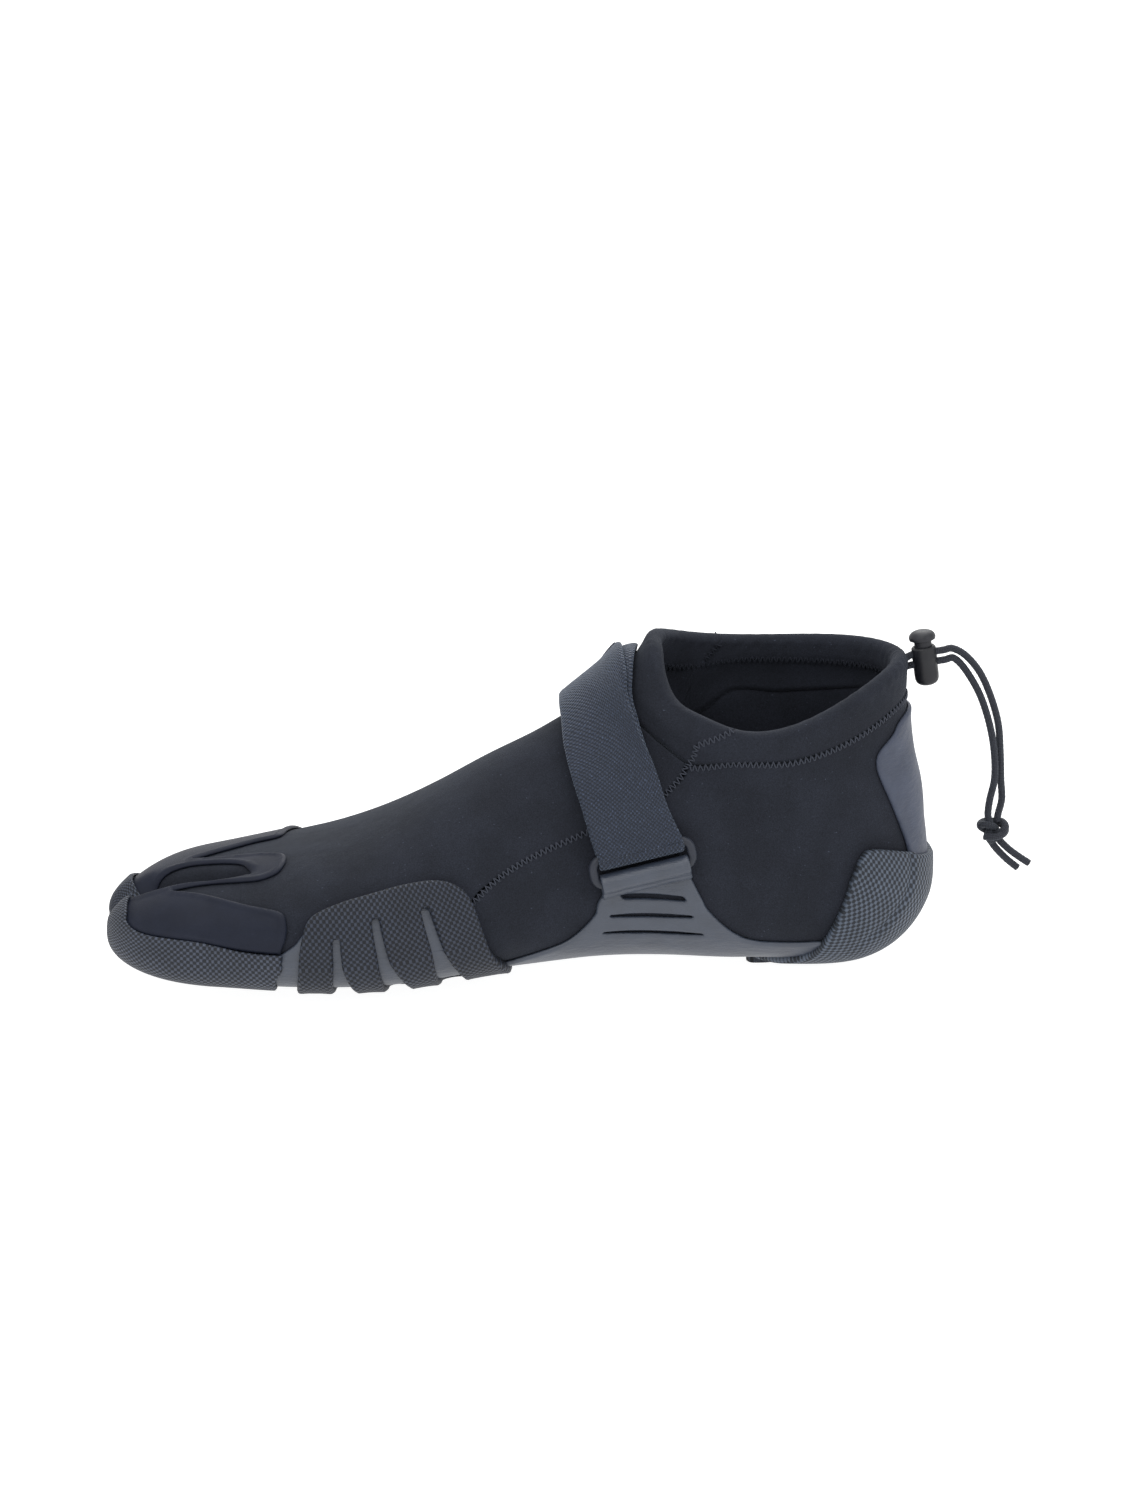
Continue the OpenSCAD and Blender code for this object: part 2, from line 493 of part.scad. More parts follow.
// Steps at which the tail bends when its end is lifted, and where it ends
CREST = 15;
TAIL_END = 19;
module strap_tail_lower()
    color("#454853") strap_layer([for (i = [0:CREST]) min(i, CREST - 0.1)], tail_base, layer_high);
module strap_tail_upper()
    color("#454853") strap_layer([for (i = [CREST:TAIL_END]) max(i, CREST + 0.1)], tail_base, layer_high);

// Rubber grip on the free end of the strap
module pull_tab() color("#1f2026") strap_layer([17:TAIL_END], tail_base + strap_t + 0.1, 9, 0.8);

// Quarter turn of the strap round the upper bar
module strap_fold() {
    r = bar_d / 2 + 0.15;
    color("#454853") across_ring(STRAP_W) translate([bar_pitch / 2, BAR_H]) difference() {
        circle(r + strap_t);
        circle(r);
        translate([0, -10]) square([10, 20]);
        translate([-10, -10]) square([20, 10]);
    }
}

// Rubber patch on the outer side that holds the strap's fixed end down
module strap_anchor() {
    ribs = [[6.8, -75, 5.55, -73], [6.98, -84, 5.75, -83], [7.06, -89, 5.88, -89]];
    color("#5a5d6a") sheet(ribs, 4, 5, strap_t + 2.8, strap_t + 4);
}
module strap_stitching() {
    color("#9094a2") for (i = [28.6, 29.2]) {
        r = spline(STRAP, i / STEPS * (len(STRAP) - 1));
        line = [for (t = [0.1:0.2:0.9]) [r[0] + (r[2] - r[0]) * t, r[1] + (r[3] - r[1]) * t]];
        tube([for (p = line) skin(p[0], p[1], r[4] + strap_t + 0.5)], 0.7, [for (p = line) outward(p[0],
            p[1])], 5);
    }
}

// ---- Drawcord --------------------------------------------------------------
// The cord lock stands behind the collar, leaning with the heel. Its frame: X
// along the cords, away from the boot, and Z up the barrel.
LOCK_TILT = 4;
lock_c = [277.8, 0, 104] * k + shift;
function lock_point(x, z) = lock_c + [x * cos(LOCK_TILT) - z * sin(LOCK_TILT),
    0, x * sin(LOCK_TILT) + z * cos(LOCK_TILT)];
module on_lock() translate(lock_c) rotate([0, -LOCK_TILT, 0]) children();
// Height of each cord above and below the middle of the lock
STACK = 1.75;
BARREL_LOW = -9.4;
BARREL_TOP = 4.2;
// Clear bore for a cord
cord_bore = cord_d + 0.5;
PLUNGER_LOW = -4.4;

module cord_bores(low, high)
    for (z = [low, high]) translate([0, 0, z]) rotate([0, 90, 0]) cylinder(d = cord_bore, h = 20,
        center = true);

module cord_lock_barrel() {
    color("#16171b") on_lock() difference() {
        union() {
            translate([0, 0, BARREL_LOW + 1.6]) cylinder(d = lock_d, h = BARREL_TOP - BARREL_LOW - 1.6);
            translate([0, 0, BARREL_LOW]) cylinder(d1 = lock_d - 2.6, d2 = lock_d, h = 1.6);
        }
        translate([0, 0, BARREL_LOW + 1]) cylinder(d = lock_d - 2, h = 20);
        cord_bores(-STACK, STACK);
    }
}

// The plunger's slot lets both cords through, pressed or not
module cord_lock_button() {
    head = BARREL_TOP + button_travel + 0.2;
    color("#1d1e23") on_lock() difference() {
        union() {
            translate([0, 0, PLUNGER_LOW]) cylinder(d = lock_d - 2.4, h = head - PLUNGER_LOW + 0.1);
            translate([0, 0, head]) cylinder(d = lock_d, h = 1.6);
            translate([0, 0, head + 1.6]) cylinder(d1 = lock_d, d2 = lock_d - 3, h = 1.4);
        }
        cord_bores(-STACK, STACK + button_travel);
        translate([0, 0, button_travel / 2]) cube([20, cord_bore, 2 * STACK + button_travel], center = true);
    }
}

module cord_lock_spring() {
    turns = 3;
    r = lock_d / 2 - 2;
    low = BARREL_LOW + 1.3;
    high = PLUNGER_LOW - 0.3;
    path = [for (i = [0:30]) let (a = 360 * turns * i / 30) [r * cos(a), r * sin(a),
        low + (high - low) * i / 30]];
    color("silver") on_lock() tube(path, 0.5, [0, 0, 1], 6);
}

// Round the collar inside the cuff, then out through the lock, one end above
// the other
CORD_U = 0.4;
CORD_OFF = -TUNNEL - CUFF_T;
module drawcord() {
    path = concat(
        [lock_point(lock_d / 2, -STACK), lock_point(0, -STACK), lock_point(-4.6, -STACK)],
        [skin(CORD_U + 0.24, -177, CORD_OFF + 1.4), skin(CORD_U + 0.1, -172, CORD_OFF + 0.4)],
        [for (v = [-165:10:165]) skin(CORD_U, v, CORD_OFF)],
        [skin(CORD_U, 172, CORD_OFF + 0.4), skin(CORD_U - 0.06, 177, CORD_OFF + 1.4)],
        [lock_point(-4.6, STACK), lock_point(0, STACK), lock_point(lock_d / 2, STACK)]);
    color("#2e3038") tube(path, cord_d, [0, 0, 1], 8);
}

// Free ends of the cord: straight behind the lock, so that it can slide, then
// down behind the heel to the knot. Points are [x, z] on the boot's middle line.
STRAIGHT = 10;
UPPER = [[292, 104.5], [297, 98.5], [301, 90], [304, 80], [305, 70], [305.5, 60], [306, 53], [305, 47]];
LOWER = [[292, 99.5], [297, 91], [300.5, 81], [302.5, 71], [303, 61], [301.5, 53], [301, 47]];
function on_middle(p, y = 0) = [p[0] * k + shift[0], shift[1] + y, p[1] * k + shift[2]];
module strand(points, z, y) {
    route = concat([for (x = [lock_d / 2, 7, STRAIGHT]) lock_point(x, z)],
        [for (i = [0:len(points) - 1]) on_middle(points[i], y * smooth(i / 3))]);
    color("#2e3038") tube(resample(route, 18), cord_d, [0, 1, 0], 8);
}
module cord_strand_upper() strand(UPPER, STACK, 0.8);
module cord_strand_lower() strand(LOWER, -STACK, -0.8);

module cord_knot() {
    color("#2e3038") translate(on_middle([303, 42.2])) hull()
        for (p = [[-2.4, 0, 1.6], [2.4, 0, 1.6], [-1.5, 2, -1], [2, -2, -1], [0.4, 0, -1.8]])
            translate(p) sphere(d = 5, $fn = 10);
}
TAILS = [[[306, 37.5], [309, 34.6], [312.5, 31.9], [316, 29.5]], [[303, 37], [305.4, 34], [308.6, 30.8],
    [312, 28]]];
module cord_tails() {
    color("#2e3038") for (p = TAILS) tube([for (q = resample(p, 4)) on_middle(q)], cord_d, [0, 1, 0], 8);
}

vamp();
quarter_medial();
quarter_lateral();
sole_panel();
cuff_front();
cuff_rear();
seam_stitching();
seam_tape();
toe_divider();
insole();
sole_base();
flank_base();
toe_rand();
toe_overlay();
forefoot_outsole();
forefoot_tread();
arch_wrap();
heel_cup();
heel_tread();
heel_tab();
ring_tab();
ring();
strap_base();
strap_anchor();
strap_stitching();
strap_fold();
strap_tail_lower();
strap_tail_upper();
pull_tab();
drawcord();
cord_lock_barrel();
cord_lock_button();
cord_lock_spring();
cord_strand_upper();
cord_strand_lower();
cord_knot();
cord_tails();
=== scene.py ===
"""A low neoprene reef boot: right foot, split toe, glued rubber sole, instep strap, drawcord.

The boot's surface is one function, skin(u, v, height). u runs from the collar's rim, 0, over the
heel and forward to the tip of the toe, 12. v is the angle round the foot in degrees: 0 on top,
90 on the inner side, 180 underneath. Panels are outlines in u and v, cut out of that surface.
Lengths are in millimetres until a mesh is made, in the frame's axes.
"""
import math

import bpy
import numpy as np
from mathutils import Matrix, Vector, geometry, kdtree


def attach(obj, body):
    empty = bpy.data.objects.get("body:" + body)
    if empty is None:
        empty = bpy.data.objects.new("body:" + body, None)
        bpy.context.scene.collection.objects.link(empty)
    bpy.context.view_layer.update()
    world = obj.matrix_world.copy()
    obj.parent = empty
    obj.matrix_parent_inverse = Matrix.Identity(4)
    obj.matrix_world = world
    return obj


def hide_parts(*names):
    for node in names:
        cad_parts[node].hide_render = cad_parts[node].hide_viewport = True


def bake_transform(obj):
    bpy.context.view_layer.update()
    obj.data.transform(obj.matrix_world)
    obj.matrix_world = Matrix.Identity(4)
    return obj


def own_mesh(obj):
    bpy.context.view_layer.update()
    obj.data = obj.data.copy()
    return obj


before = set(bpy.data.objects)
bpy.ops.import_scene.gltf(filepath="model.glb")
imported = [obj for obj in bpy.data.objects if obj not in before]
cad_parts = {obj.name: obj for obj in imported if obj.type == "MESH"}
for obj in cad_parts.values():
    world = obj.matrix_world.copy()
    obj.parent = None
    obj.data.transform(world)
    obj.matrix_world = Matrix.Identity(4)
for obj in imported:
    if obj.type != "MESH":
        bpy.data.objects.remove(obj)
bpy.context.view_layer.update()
MM = 0.001

# ---- Camera ----------------------------------------------------------------
AIM = Vector((16.2, 3.5, 76.1)) * MM
DISTANCE = 1.5
AZIMUTH, ELEVATION = math.radians(-5), math.radians(16)
camera = bpy.data.objects.new("camera", bpy.data.cameras.new("camera"))
bpy.context.scene.collection.objects.link(camera)
away = Vector((math.sin(AZIMUTH) * math.cos(ELEVATION), -math.cos(AZIMUTH) * math.cos(ELEVATION),
               math.sin(ELEVATION)))
camera.location = AIM + away * DISTANCE
camera.rotation_euler = (-away).to_track_quat("-Z", "Y").to_euler()
camera.data.lens = 105.5
camera.data.sensor_width = camera.data.sensor_height = 36
camera.data.clip_start, camera.data.clip_end = 0.05, 50
bpy.context.scene.camera = camera

# ---- Surface of the upper --------------------------------------------------
# One ring a row: top x, z; bottom x, z; half width inner, outer; middle y at bottom, top; share of
# the height at the widest level; squareness upper, lower; droop inner, outer. The CAD model has a
# table of the same layout with its own values, up to 4 mm away.
RINGS = np.array([
    [183.4, 116, 272, 107, 34, 34, 0, 0, 0.50, 2.1, 2.0, 22.6, 6],
    [180.6, 110.6, 271.5, 96, 34, 34, 0, 0, 0.50, 2.1, 2.0, 19.8, 5],
    [176.5, 104, 272.5, 78, 33, 33, 0, 0, 0.50, 2.1, 2.0, 15, 4],
    [171.5, 97.3, 277, 52, 33, 33, 0, 0, 0.42, 2.1, 2.0, 8, 3],
    [165, 92.5, 276.8, 22, 34, 34, 0, 0, 0.36, 2.1, 2.2, 4, 2],
    [157, 88, 257, 5.2, 36, 36, 0, -1, 0.34, 2.1, 2.8, 2, 0],
    [146, 82.3, 216, 4, 36, 37, 3, -3, 0.34, 2.1, 3.0, 0, 0],
    [131, 75.3, 174, 6, 38, 40, 5, -5, 0.32, 2.1, 2.8, 0, 0],
    [111, 65, 134, 6, 44, 45, 2, -8, 0.30, 2.1, 2.8, 0, 0],
    [88, 54, 95, 4, 48, 49, 0, -10, 0.30, 2.2, 3.2, 3, -6],
    [60, 46, 62, 4, 46, 51, 0, -10, 0.32, 2.3, 3.4, 2, -8],
    [32, 40, 32, 5, 39, 47, -2, -8, 0.38, 2.5, 3.2, 0, -8],
    [-0.4, 34.6, -0.4, 8, 32, 38, -6, -8, 0.45, 2.6, 2.8, 0, -8]], float)
TIP_Y, TIP_Z = -10, 20
TOE_ROUND = 2.5
DROOP_SKEW = 0.6
# Where the rim dips: depth, place and width in degrees, beside the front and at the front itself
RIM_DIP, DIP_AT, DIP_WIDE = 6.5, 32, 17
FRONT_DIP, FRONT_WIDE = 1.8, 15
DIP_END = 2.8
LAST = 12
SHIFT = np.array([-141, 3.5, 1.85])
SPLIT_Y, SPLIT_W, SPLIT_DEPTH, SPLIT_X = -12, 4.1, 8, 50
WAVE_DEPTH = 0.22
# Millimetres that one step of u and one radian of v stand for in a panel's plane, and the toe's radius
PER_U, PER_RADIAN, TOE_R = 27, 38, 50


def smooth(x):
    t = np.clip(x, 0, 1)
    return t * t * (3 - 2 * t)


def spline(rows, u):
    """Catmull-Rom through the rows of a table, at the places u."""
    rows, u = np.asarray(rows, float), np.asarray(u, float)
    n = len(rows)
    i = np.clip(np.floor(u), 0, n - 2).astype(int)
    t = (u - i)[..., None]
    p1, p2 = rows[i], rows[i + 1]
    p0 = np.where((i > 0)[..., None], rows[np.maximum(i - 1, 0)], 2 * p1 - p2)
    p3 = np.where((i < n - 2)[..., None], rows[np.minimum(i + 2, n - 1)], 2 * p2 - p1)
    return p1 + 0.5 * t * (p2 - p0 + t * (2 * p0 - 5 * p1 + 4 * p2 - p3
                                          + t * (3 * (p1 - p2) + p3 - p0)))


def face(u, v):
    u, v = np.broadcast_arrays(np.asarray(u, float), np.asarray(v, float))
    a = np.radians(np.clip(u - 11, 0, 1) * 90)
    r = (np.cos(a) ** TOE_ROUND + np.sin(a) ** TOE_ROUND) ** (-1 / TOE_ROUND)
    nose = (u > 11)[..., None]
    q = np.where(nose, RINGS[11] + (RINGS[12] - RINGS[11]) * (r * np.sin(a))[..., None],
                 spline(RINGS[:12], np.minimum(u, 11)))
    f = np.where(u > 11, r * np.cos(a), 1.0)
    c, s = np.cos(np.radians(v)), np.sin(np.radians(v))
    n = (q[..., 9] * (1 + c) + q[..., 10] * (1 - c)) / 2
    r = (np.abs(c) ** n + np.abs(s) ** n) ** (-1 / n)
    dx, dz = q[..., 0] - q[..., 2], q[..., 1] - q[..., 3]
    h = np.hypot(dx, dz)
    ex, ez = dx / h, dz / h
    w = q[..., 8]
    up = h * (w + np.where(c > 0, 1 - w, w) * r * c)
    droop = np.where(s > 0, q[..., 11], q[..., 12]) * (r * s) ** 2 * (1 + DROOP_SKEW * c) * f
    around = np.where(v > 180, v - 360, v)
    dip = (RIM_DIP * np.exp(-((around - DIP_AT) / DIP_WIDE) ** 2)
           + FRONT_DIP * np.exp(-(around / FRONT_WIDE) ** 2))
    droop = droop + dip * smooth((DIP_END - u) / DIP_END)
    mid = q[..., 6] + (q[..., 7] - q[..., 6]) * (1 + r * c) / 2
    y = mid - np.where(s > 0, q[..., 4], q[..., 5]) * r * s
    z = q[..., 3] + ez * up + ex * droop
    return np.stack([q[..., 2] + ex * up - ez * droop, TIP_Y + (y - TIP_Y) * f,
                     TIP_Z + (z - TIP_Z) * f], -1)


def outward(u, v):
    e, w = 0.01, 0.4
    u, v = np.broadcast_arrays(np.asarray(u, float), np.asarray(v, float))
    n = np.cross(face(np.minimum(u + e, LAST - 0.002), v) - face(np.maximum(u - e, -0.6), v),
                 face(u, v + w) - face(u, v - w))
    return n / np.linalg.norm(n, axis=-1, keepdims=True)


def hollow(p):
    """How far the surface is drawn in: the split between the toes, and soft waves in the foam."""
    x, y, z = p[..., 0], p[..., 1], p[..., 2]
    off = (y - SPLIT_Y + 0.42 * np.maximum(x - 12, 0)) / (SPLIT_W - 1.6 * smooth((x - 30) / 16))
    split = SPLIT_DEPTH * np.exp(-off ** 2) * smooth((SPLIT_X - x) / 12) * smooth((z - 3) / 9)
    waves = (np.sin(x / 11 + z / 9) * np.sin(z / 13 - y / 17 + 1)
             + 0.6 * np.sin(x / 5.5 - z / 8 + 2) * np.sin(z / 7))
    return split + WAVE_DEPTH * waves * smooth((z - 12) / 20)


def skin(u, v, height):
    p = face(u, v)
    return p + outward(u, v) * (np.asarray(height, float) - hollow(p))[..., None] + SHIFT


# Length in millimetres along u, and round the foot from its inner side (v = 90), on a grid
U_GRID, V_GRID = np.linspace(0, LAST - 0.01, 240), np.linspace(-190, 370, 281)
_p = face(U_GRID[:, None], V_GRID[None, :])
_along = np.concatenate([np.zeros((1, len(V_GRID))),
                         np.cumsum(np.linalg.norm(np.diff(_p, axis=0), axis=-1), 0)])
_round = np.concatenate([np.zeros((len(U_GRID), 1)),
                         np.cumsum(np.linalg.norm(np.diff(_p, axis=1), axis=-1), 1)], 1)


def lookup(grid, u, v):
    """A grid's value at u and v, between its points."""
    a = np.clip(np.interp(u, U_GRID, np.arange(len(U_GRID))), 0, len(U_GRID) - 1.001)
    b = np.clip(np.interp(v, V_GRID, np.arange(len(V_GRID))), 0, len(V_GRID) - 1.001)
    i, j = a.astype(int), b.astype(int)
    s, t = a - i, b - j
    near = grid[i, j] * (1 - s) + grid[i + 1, j] * s
    far = grid[i, j + 1] * (1 - s) + grid[i + 1, j + 1] * s
    return near * (1 - t) + far * t


def length_along(line):
    """Distance from a line's start to each of its points."""
    return np.concatenate([[0], np.cumsum(np.linalg.norm(np.diff(line, axis=0), axis=1))])


def fabric_uv(u, v, outer):
    """Millimetres along the foot and round it, from the middle of the side that the point is on."""
    middle = np.where(outer & (v > 100), 270.0, np.where(outer, -90.0, 90.0))
    w = np.minimum(u, 11)
    return np.stack([lookup(_along, u, middle), lookup(_round, w, v) - lookup(_round, w, middle)], -1)


# ---- Meshes ----------------------------------------------------------------
def mesh(name, points, faces, uv=None, material=None, body="boot"):
    """A mesh piece from points in millimetres. uv gives one pair for each corner of each face."""
    data = bpy.data.meshes.new(name)
    data.from_pydata((np.asarray(points, float) * MM).tolist(), [],
                     [tuple(int(i) for i in f) for f in faces])
    if uv is not None:
        data.uv_layers.new(name="mm").data.foreach_set("uv", np.asarray(uv, np.float32).ravel())
    data.validate()
    data.polygons.foreach_set("use_smooth", [True] * len(data.polygons))
    piece = bpy.data.objects.new(name, data)
    bpy.context.scene.collection.objects.link(piece)
    if material:
        data.materials.append(material)
    if body:
        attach(piece, body)
    return piece


def claim(piece, kind, *nodes):
    """Hides the CAD nodes that a piece replaces."""
    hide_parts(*nodes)
    return piece


def crease(piece, angle):
    """Keeps edges that turn more than the angle sharp."""
    data = piece.data
    normals = [p.normal for p in data.polygons]
    sides = {}
    for p in data.polygons:
        for key in p.edge_keys:
            sides.setdefault(key, []).append(p.index)
    limit = math.cos(math.radians(angle))
    for edge in data.edges:
        pair = sides.get(edge.key, [])
        edge.use_edge_sharp = len(pair) == 2 and normals[pair[0]].dot(normals[pair[1]]) < limit
    return piece


def stacked(rows, sides):
    """Faces of a solid made of rows of points, each row a closed ring, with flat ends."""
    faces = [(i * sides + j, i * sides + (j + 1) % sides, (i + 1) * sides + (j + 1) % sides,
              (i + 1) * sides + j) for i in range(rows - 1) for j in range(sides)]
    return faces + [tuple(range(sides - 1, -1, -1)), tuple(range((rows - 1) * sides, rows * sides))]


def tube(path, radius, sides):
    """Points and faces of a round tube along a path; radius is a number or one for each point."""
    path = np.asarray(path, float)
    n = len(path)
    radius = np.broadcast_to(np.asarray(radius, float), n)
    step = np.gradient(path, axis=0)
    t = step / np.maximum(np.linalg.norm(step, axis=1, keepdims=True), 1e-9)
    a = np.cross(t[0], [0.3, 0.9, 0.2])
    frames = []
    for i in range(n):
        a = a - t[i] * np.dot(a, t[i])
        a = a / np.linalg.norm(a)
        frames.append((a, np.cross(t[i], a)))
    ang = np.arange(sides) * 2 * np.pi / sides
    pts = np.concatenate([
        path[i] + radius[i] * (np.outer(np.cos(ang), f[0]) + np.outer(np.sin(ang), f[1]))
        for i, f in enumerate(frames)])
    return pts, stacked(n, sides)


def gather(parts):
    """Joins several (points, faces) into one."""
    points, faces, base = [], [], 0
    for p, f in parts:
        points.append(p)
        faces += [tuple(i + base for i in q) for q in f]
        base += len(p)
    return np.concatenate(points), faces


def spaced(path, step):
    """The same line with a point every step."""
    path = np.asarray(path, float)
    far = length_along(path)
    n = max(2, int(round(far[-1] / step)) + 1)
    at = np.linspace(0, far[-1], n)
    return np.stack([np.interp(at, far, path[:, k]) for k in range(path.shape[1])], 1)


def curve(points, step=None, fine=24):
    """A smooth line through points."""
    line = spline(points, np.linspace(0, len(points) - 1, (len(points) - 1) * fine + 1))
    return line if step is None else spaced(line, step)


# ---- Panels cut out of the surface -----------------------------------------
class Strip:
    """Plane for panels on the side, sole or heel: across is u, up is v."""
    @staticmethod
    def flat(uv):
        return np.stack([uv[..., 0] * PER_U, np.radians(uv[..., 1]) * PER_RADIAN], -1)

    @staticmethod
    def back(ab):
        return np.stack([ab[..., 0] / PER_U, np.degrees(ab[..., 1] / PER_RADIAN)], -1)


class Toe:
    """Plane for panels that go over the tip of the toe, which is at its centre."""
    @staticmethod
    def flat(uv):
        d = LAST - uv[..., 0]
        r = np.where(d < 1, d * TOE_R, TOE_R + (d - 1) * PER_U)
        a = np.radians(uv[..., 1])
        return np.stack([r * np.sin(a), r * np.cos(a)], -1)

    @staticmethod
    def back(ab):
        r = np.hypot(ab[..., 0], ab[..., 1])
        return np.stack([LAST - np.where(r < TOE_R, r / TOE_R, 1 + (r - TOE_R) / PER_U),
                         np.degrees(np.arctan2(ab[..., 0], ab[..., 1]))], -1)


class Flat:
    """Plane for outlines that are given in millimetres."""
    @staticmethod
    def flat(p):
        return np.asarray(p, float)

    @staticmethod
    def back(p):
        return p


def mirror(points):
    """The same points on the other side of the boot, in the other order."""
    return [(u, 360 - v) for u, v in reversed(points)]


def over_top(points):
    """The same as mirror, for a panel that goes over the instep."""
    return [(u, -v) for u, v in reversed(points)]


def outline(plane, runs, step):
    """Closed outline in the plane from runs of points; each run is smooth, with corners between."""
    return np.concatenate([curve(plane.flat(np.array(run, float)), step)[:-1] for run in runs])


def loop(plane, points, step):
    """Closed smooth outline through points."""
    p = plane.flat(np.array(points, float))
    n = len(p)
    line = spline(np.concatenate([p[-3:], p, p[:3]]), np.linspace(3, n + 3, n * 20 + 1))
    return spaced(line, step)[:-1]


def slit(plane, points, width, step=0.6):
    """Outline of a slit with round ends along points; width is one number, or one for each point."""
    line = curve(plane.flat(np.array(points, float)), step)
    w = np.interp(np.linspace(0, 1, len(line)), np.linspace(0, 1, len(np.atleast_1d(width))),
                  np.atleast_1d(width)) / 2
    t = np.gradient(line, axis=0)
    t /= np.linalg.norm(t, axis=1, keepdims=True)
    nrm = np.stack([-t[:, 1], t[:, 0]], 1)
    def cap(c, d, r):
        a = np.linspace(0, np.pi, 8)[1:-1]
        side = np.array([-d[1], d[0]])
        return [c + r * (math.cos(x) * side + math.sin(x) * d) for x in a]
    return np.array([*(line + nrm * w[:, None]), *cap(line[-1], t[-1], w[-1]),
                     *(line - nrm * w[:, None])[::-1], *cap(line[0], -t[0], w[0])])


def slits(lines):
    """Slits along lines on the inner side, each given with its width, and the same on the outer."""
    return [edge for line, width in lines
            for edge in (slit(Strip, line, width), slit(Strip, mirror(line), width[::-1])[::-1])]


def inside(points, polygon):
    """Which of the points are inside the polygon."""
    x, y = points[:, 0][:, None], points[:, 1][:, None]
    x1, y1 = polygon[:, 0], polygon[:, 1]
    x2, y2 = np.roll(x1, -1), np.roll(y1, -1)
    with np.errstate(divide="ignore", invalid="ignore"):
        hit = ((y1 > y) != (y2 > y)) & (x < (x2 - x1) * (y - y1) / (y2 - y1) + x1)
    return hit.sum(1) % 2 == 1


def inset(polygon, d):
    """The polygon's points moved sideways by d."""
    t = np.roll(polygon, -1, 0) - np.roll(polygon, 1, 0)
    t /= np.maximum(np.linalg.norm(t, axis=1, keepdims=True), 1e-9)
    return polygon + d * np.stack([-t[:, 1], t[:, 0]], 1)


def distance(points, lines):
    """Distance of each point from the nearest point of the lines."""
    cloud = np.concatenate(lines)
    tree = kdtree.KDTree(len(cloud))
    for i, p in enumerate(cloud):
        tree.insert((*p, 0)[:3], i)
    tree.balance()
    return np.array([tree.find((*p, 0)[:3])[2] for p in points])


def cut(plane, edge, holes, space, rings):
    """Triangles that fill an outline with holes: points in u and v, triangles, and the border.

    rings are the distances from the border at which points follow it; space is the grid's pitch.
    """
    loops = [edge, *holes]
    fixed, segs = [], []
    for line in loops:
        base = sum(len(x) for x in fixed)
        fixed.append(line)
        segs += [(base + i, base + (i + 1) % len(line)) for i in range(len(line))]
    border = np.concatenate(fixed)
    def allowed(pts, gap):
        ok = inside(pts, edge)
        for h in holes:
            ok &= ~inside(pts, h)
        pts = pts[ok]
        halfway = [np.concatenate([x, (x + np.roll(x, -1, 0)) / 2]) for x in loops]
        return pts[distance(pts, halfway) > gap]
    near = [allowed(np.concatenate([inset(x, s * d) for x in loops for s in (1, -1)]), 0.85 * d)
            for d in rings]
    lo, hi = border.min(0), border.max(0)
    row = space * 0.866
    grid = np.array([(x + (j % 2) * space / 2, y) for j, y in enumerate(np.arange(lo[1], hi[1], row))
                     for x in np.arange(lo[0], hi[0], space)])
    fill = allowed(grid, rings[-1] + 0.6 * space)
    points = np.concatenate([border, *near, fill])
    verts, _, tris, *_ = geometry.delaunay_2d_cdt([Vector(p) for p in points], segs, [], 0, 1e-5)
    verts, tris = np.array([tuple(v) for v in verts]), np.array([tuple(t) for t in tris])
    centre = verts[tris].mean(1)
    keep = inside(centre, edge)
    for h in holes:
        keep &= ~inside(centre, h)
    return plane.back(verts), tris[keep], plane.back(border)


def round_edge(d, thick, radius, edge=0.35):
    """Height of a sheet at a distance d from its border: thin at the edge, full from the radius on."""
    x = np.clip(d / radius, 0, 1)
    return thick * (edge + (1 - edge) * np.sqrt(1 - (1 - x) ** 2))


def panel(name, plane, edge, low, top, material, kind, node=None, holes=(), space=1.5,
          rings=(0.35, 0.8, 1.4)):
    """A closed sheet on the boot's surface. top(d, u, v) is its height d from its border.

    It replaces the CAD node of its own name if no other is given.
    """
    uv, tris, border = cut(plane, edge, holes, space, rings)
    u, v = uv[:, 0], uv[:, 1]
    base = skin(u, v, np.full(len(u), low))
    d = distance(base, [skin(border[:, 0], border[:, 1], np.full(len(border), low))])
    upper = skin(u, v, top(d, u, v))
    n = len(uv)
    e1, e2 = upper[tris[:, 1]] - upper[tris[:, 0]], upper[tris[:, 2]] - upper[tris[:, 0]]
    out = outward(u[tris[:, 0]], v[tris[:, 0]])
    turn = (np.cross(e1, e2) * out).sum(1) < 0
    tris = np.where(turn[:, None], tris[:, ::-1], tris)
    count = {}
    for a, b, c in tris.tolist():
        for e in ((a, b), (b, c), (c, a)):
            count[e] = count.get(e, 0) + 1
    walls = [e for e in count if (e[1], e[0]) not in count]
    faces = [*map(tuple, tris.tolist()), *[(c + n, b + n, a + n) for a, b, c in tris.tolist()],
             *[(b, a, a + n, b + n) for a, b in walls]]
    corner_uv = []
    for f in faces:
        idx = np.array(f) % n
        outer = np.full(len(f), 180 < v[idx].mean() or v[idx].mean() < 0)
        corner_uv.append(fabric_uv(u[idx], v[idx], outer))
    piece = mesh(name, np.concatenate([upper, base]), faces, np.concatenate(corner_uv), material)
    return claim(piece, kind, node or name)


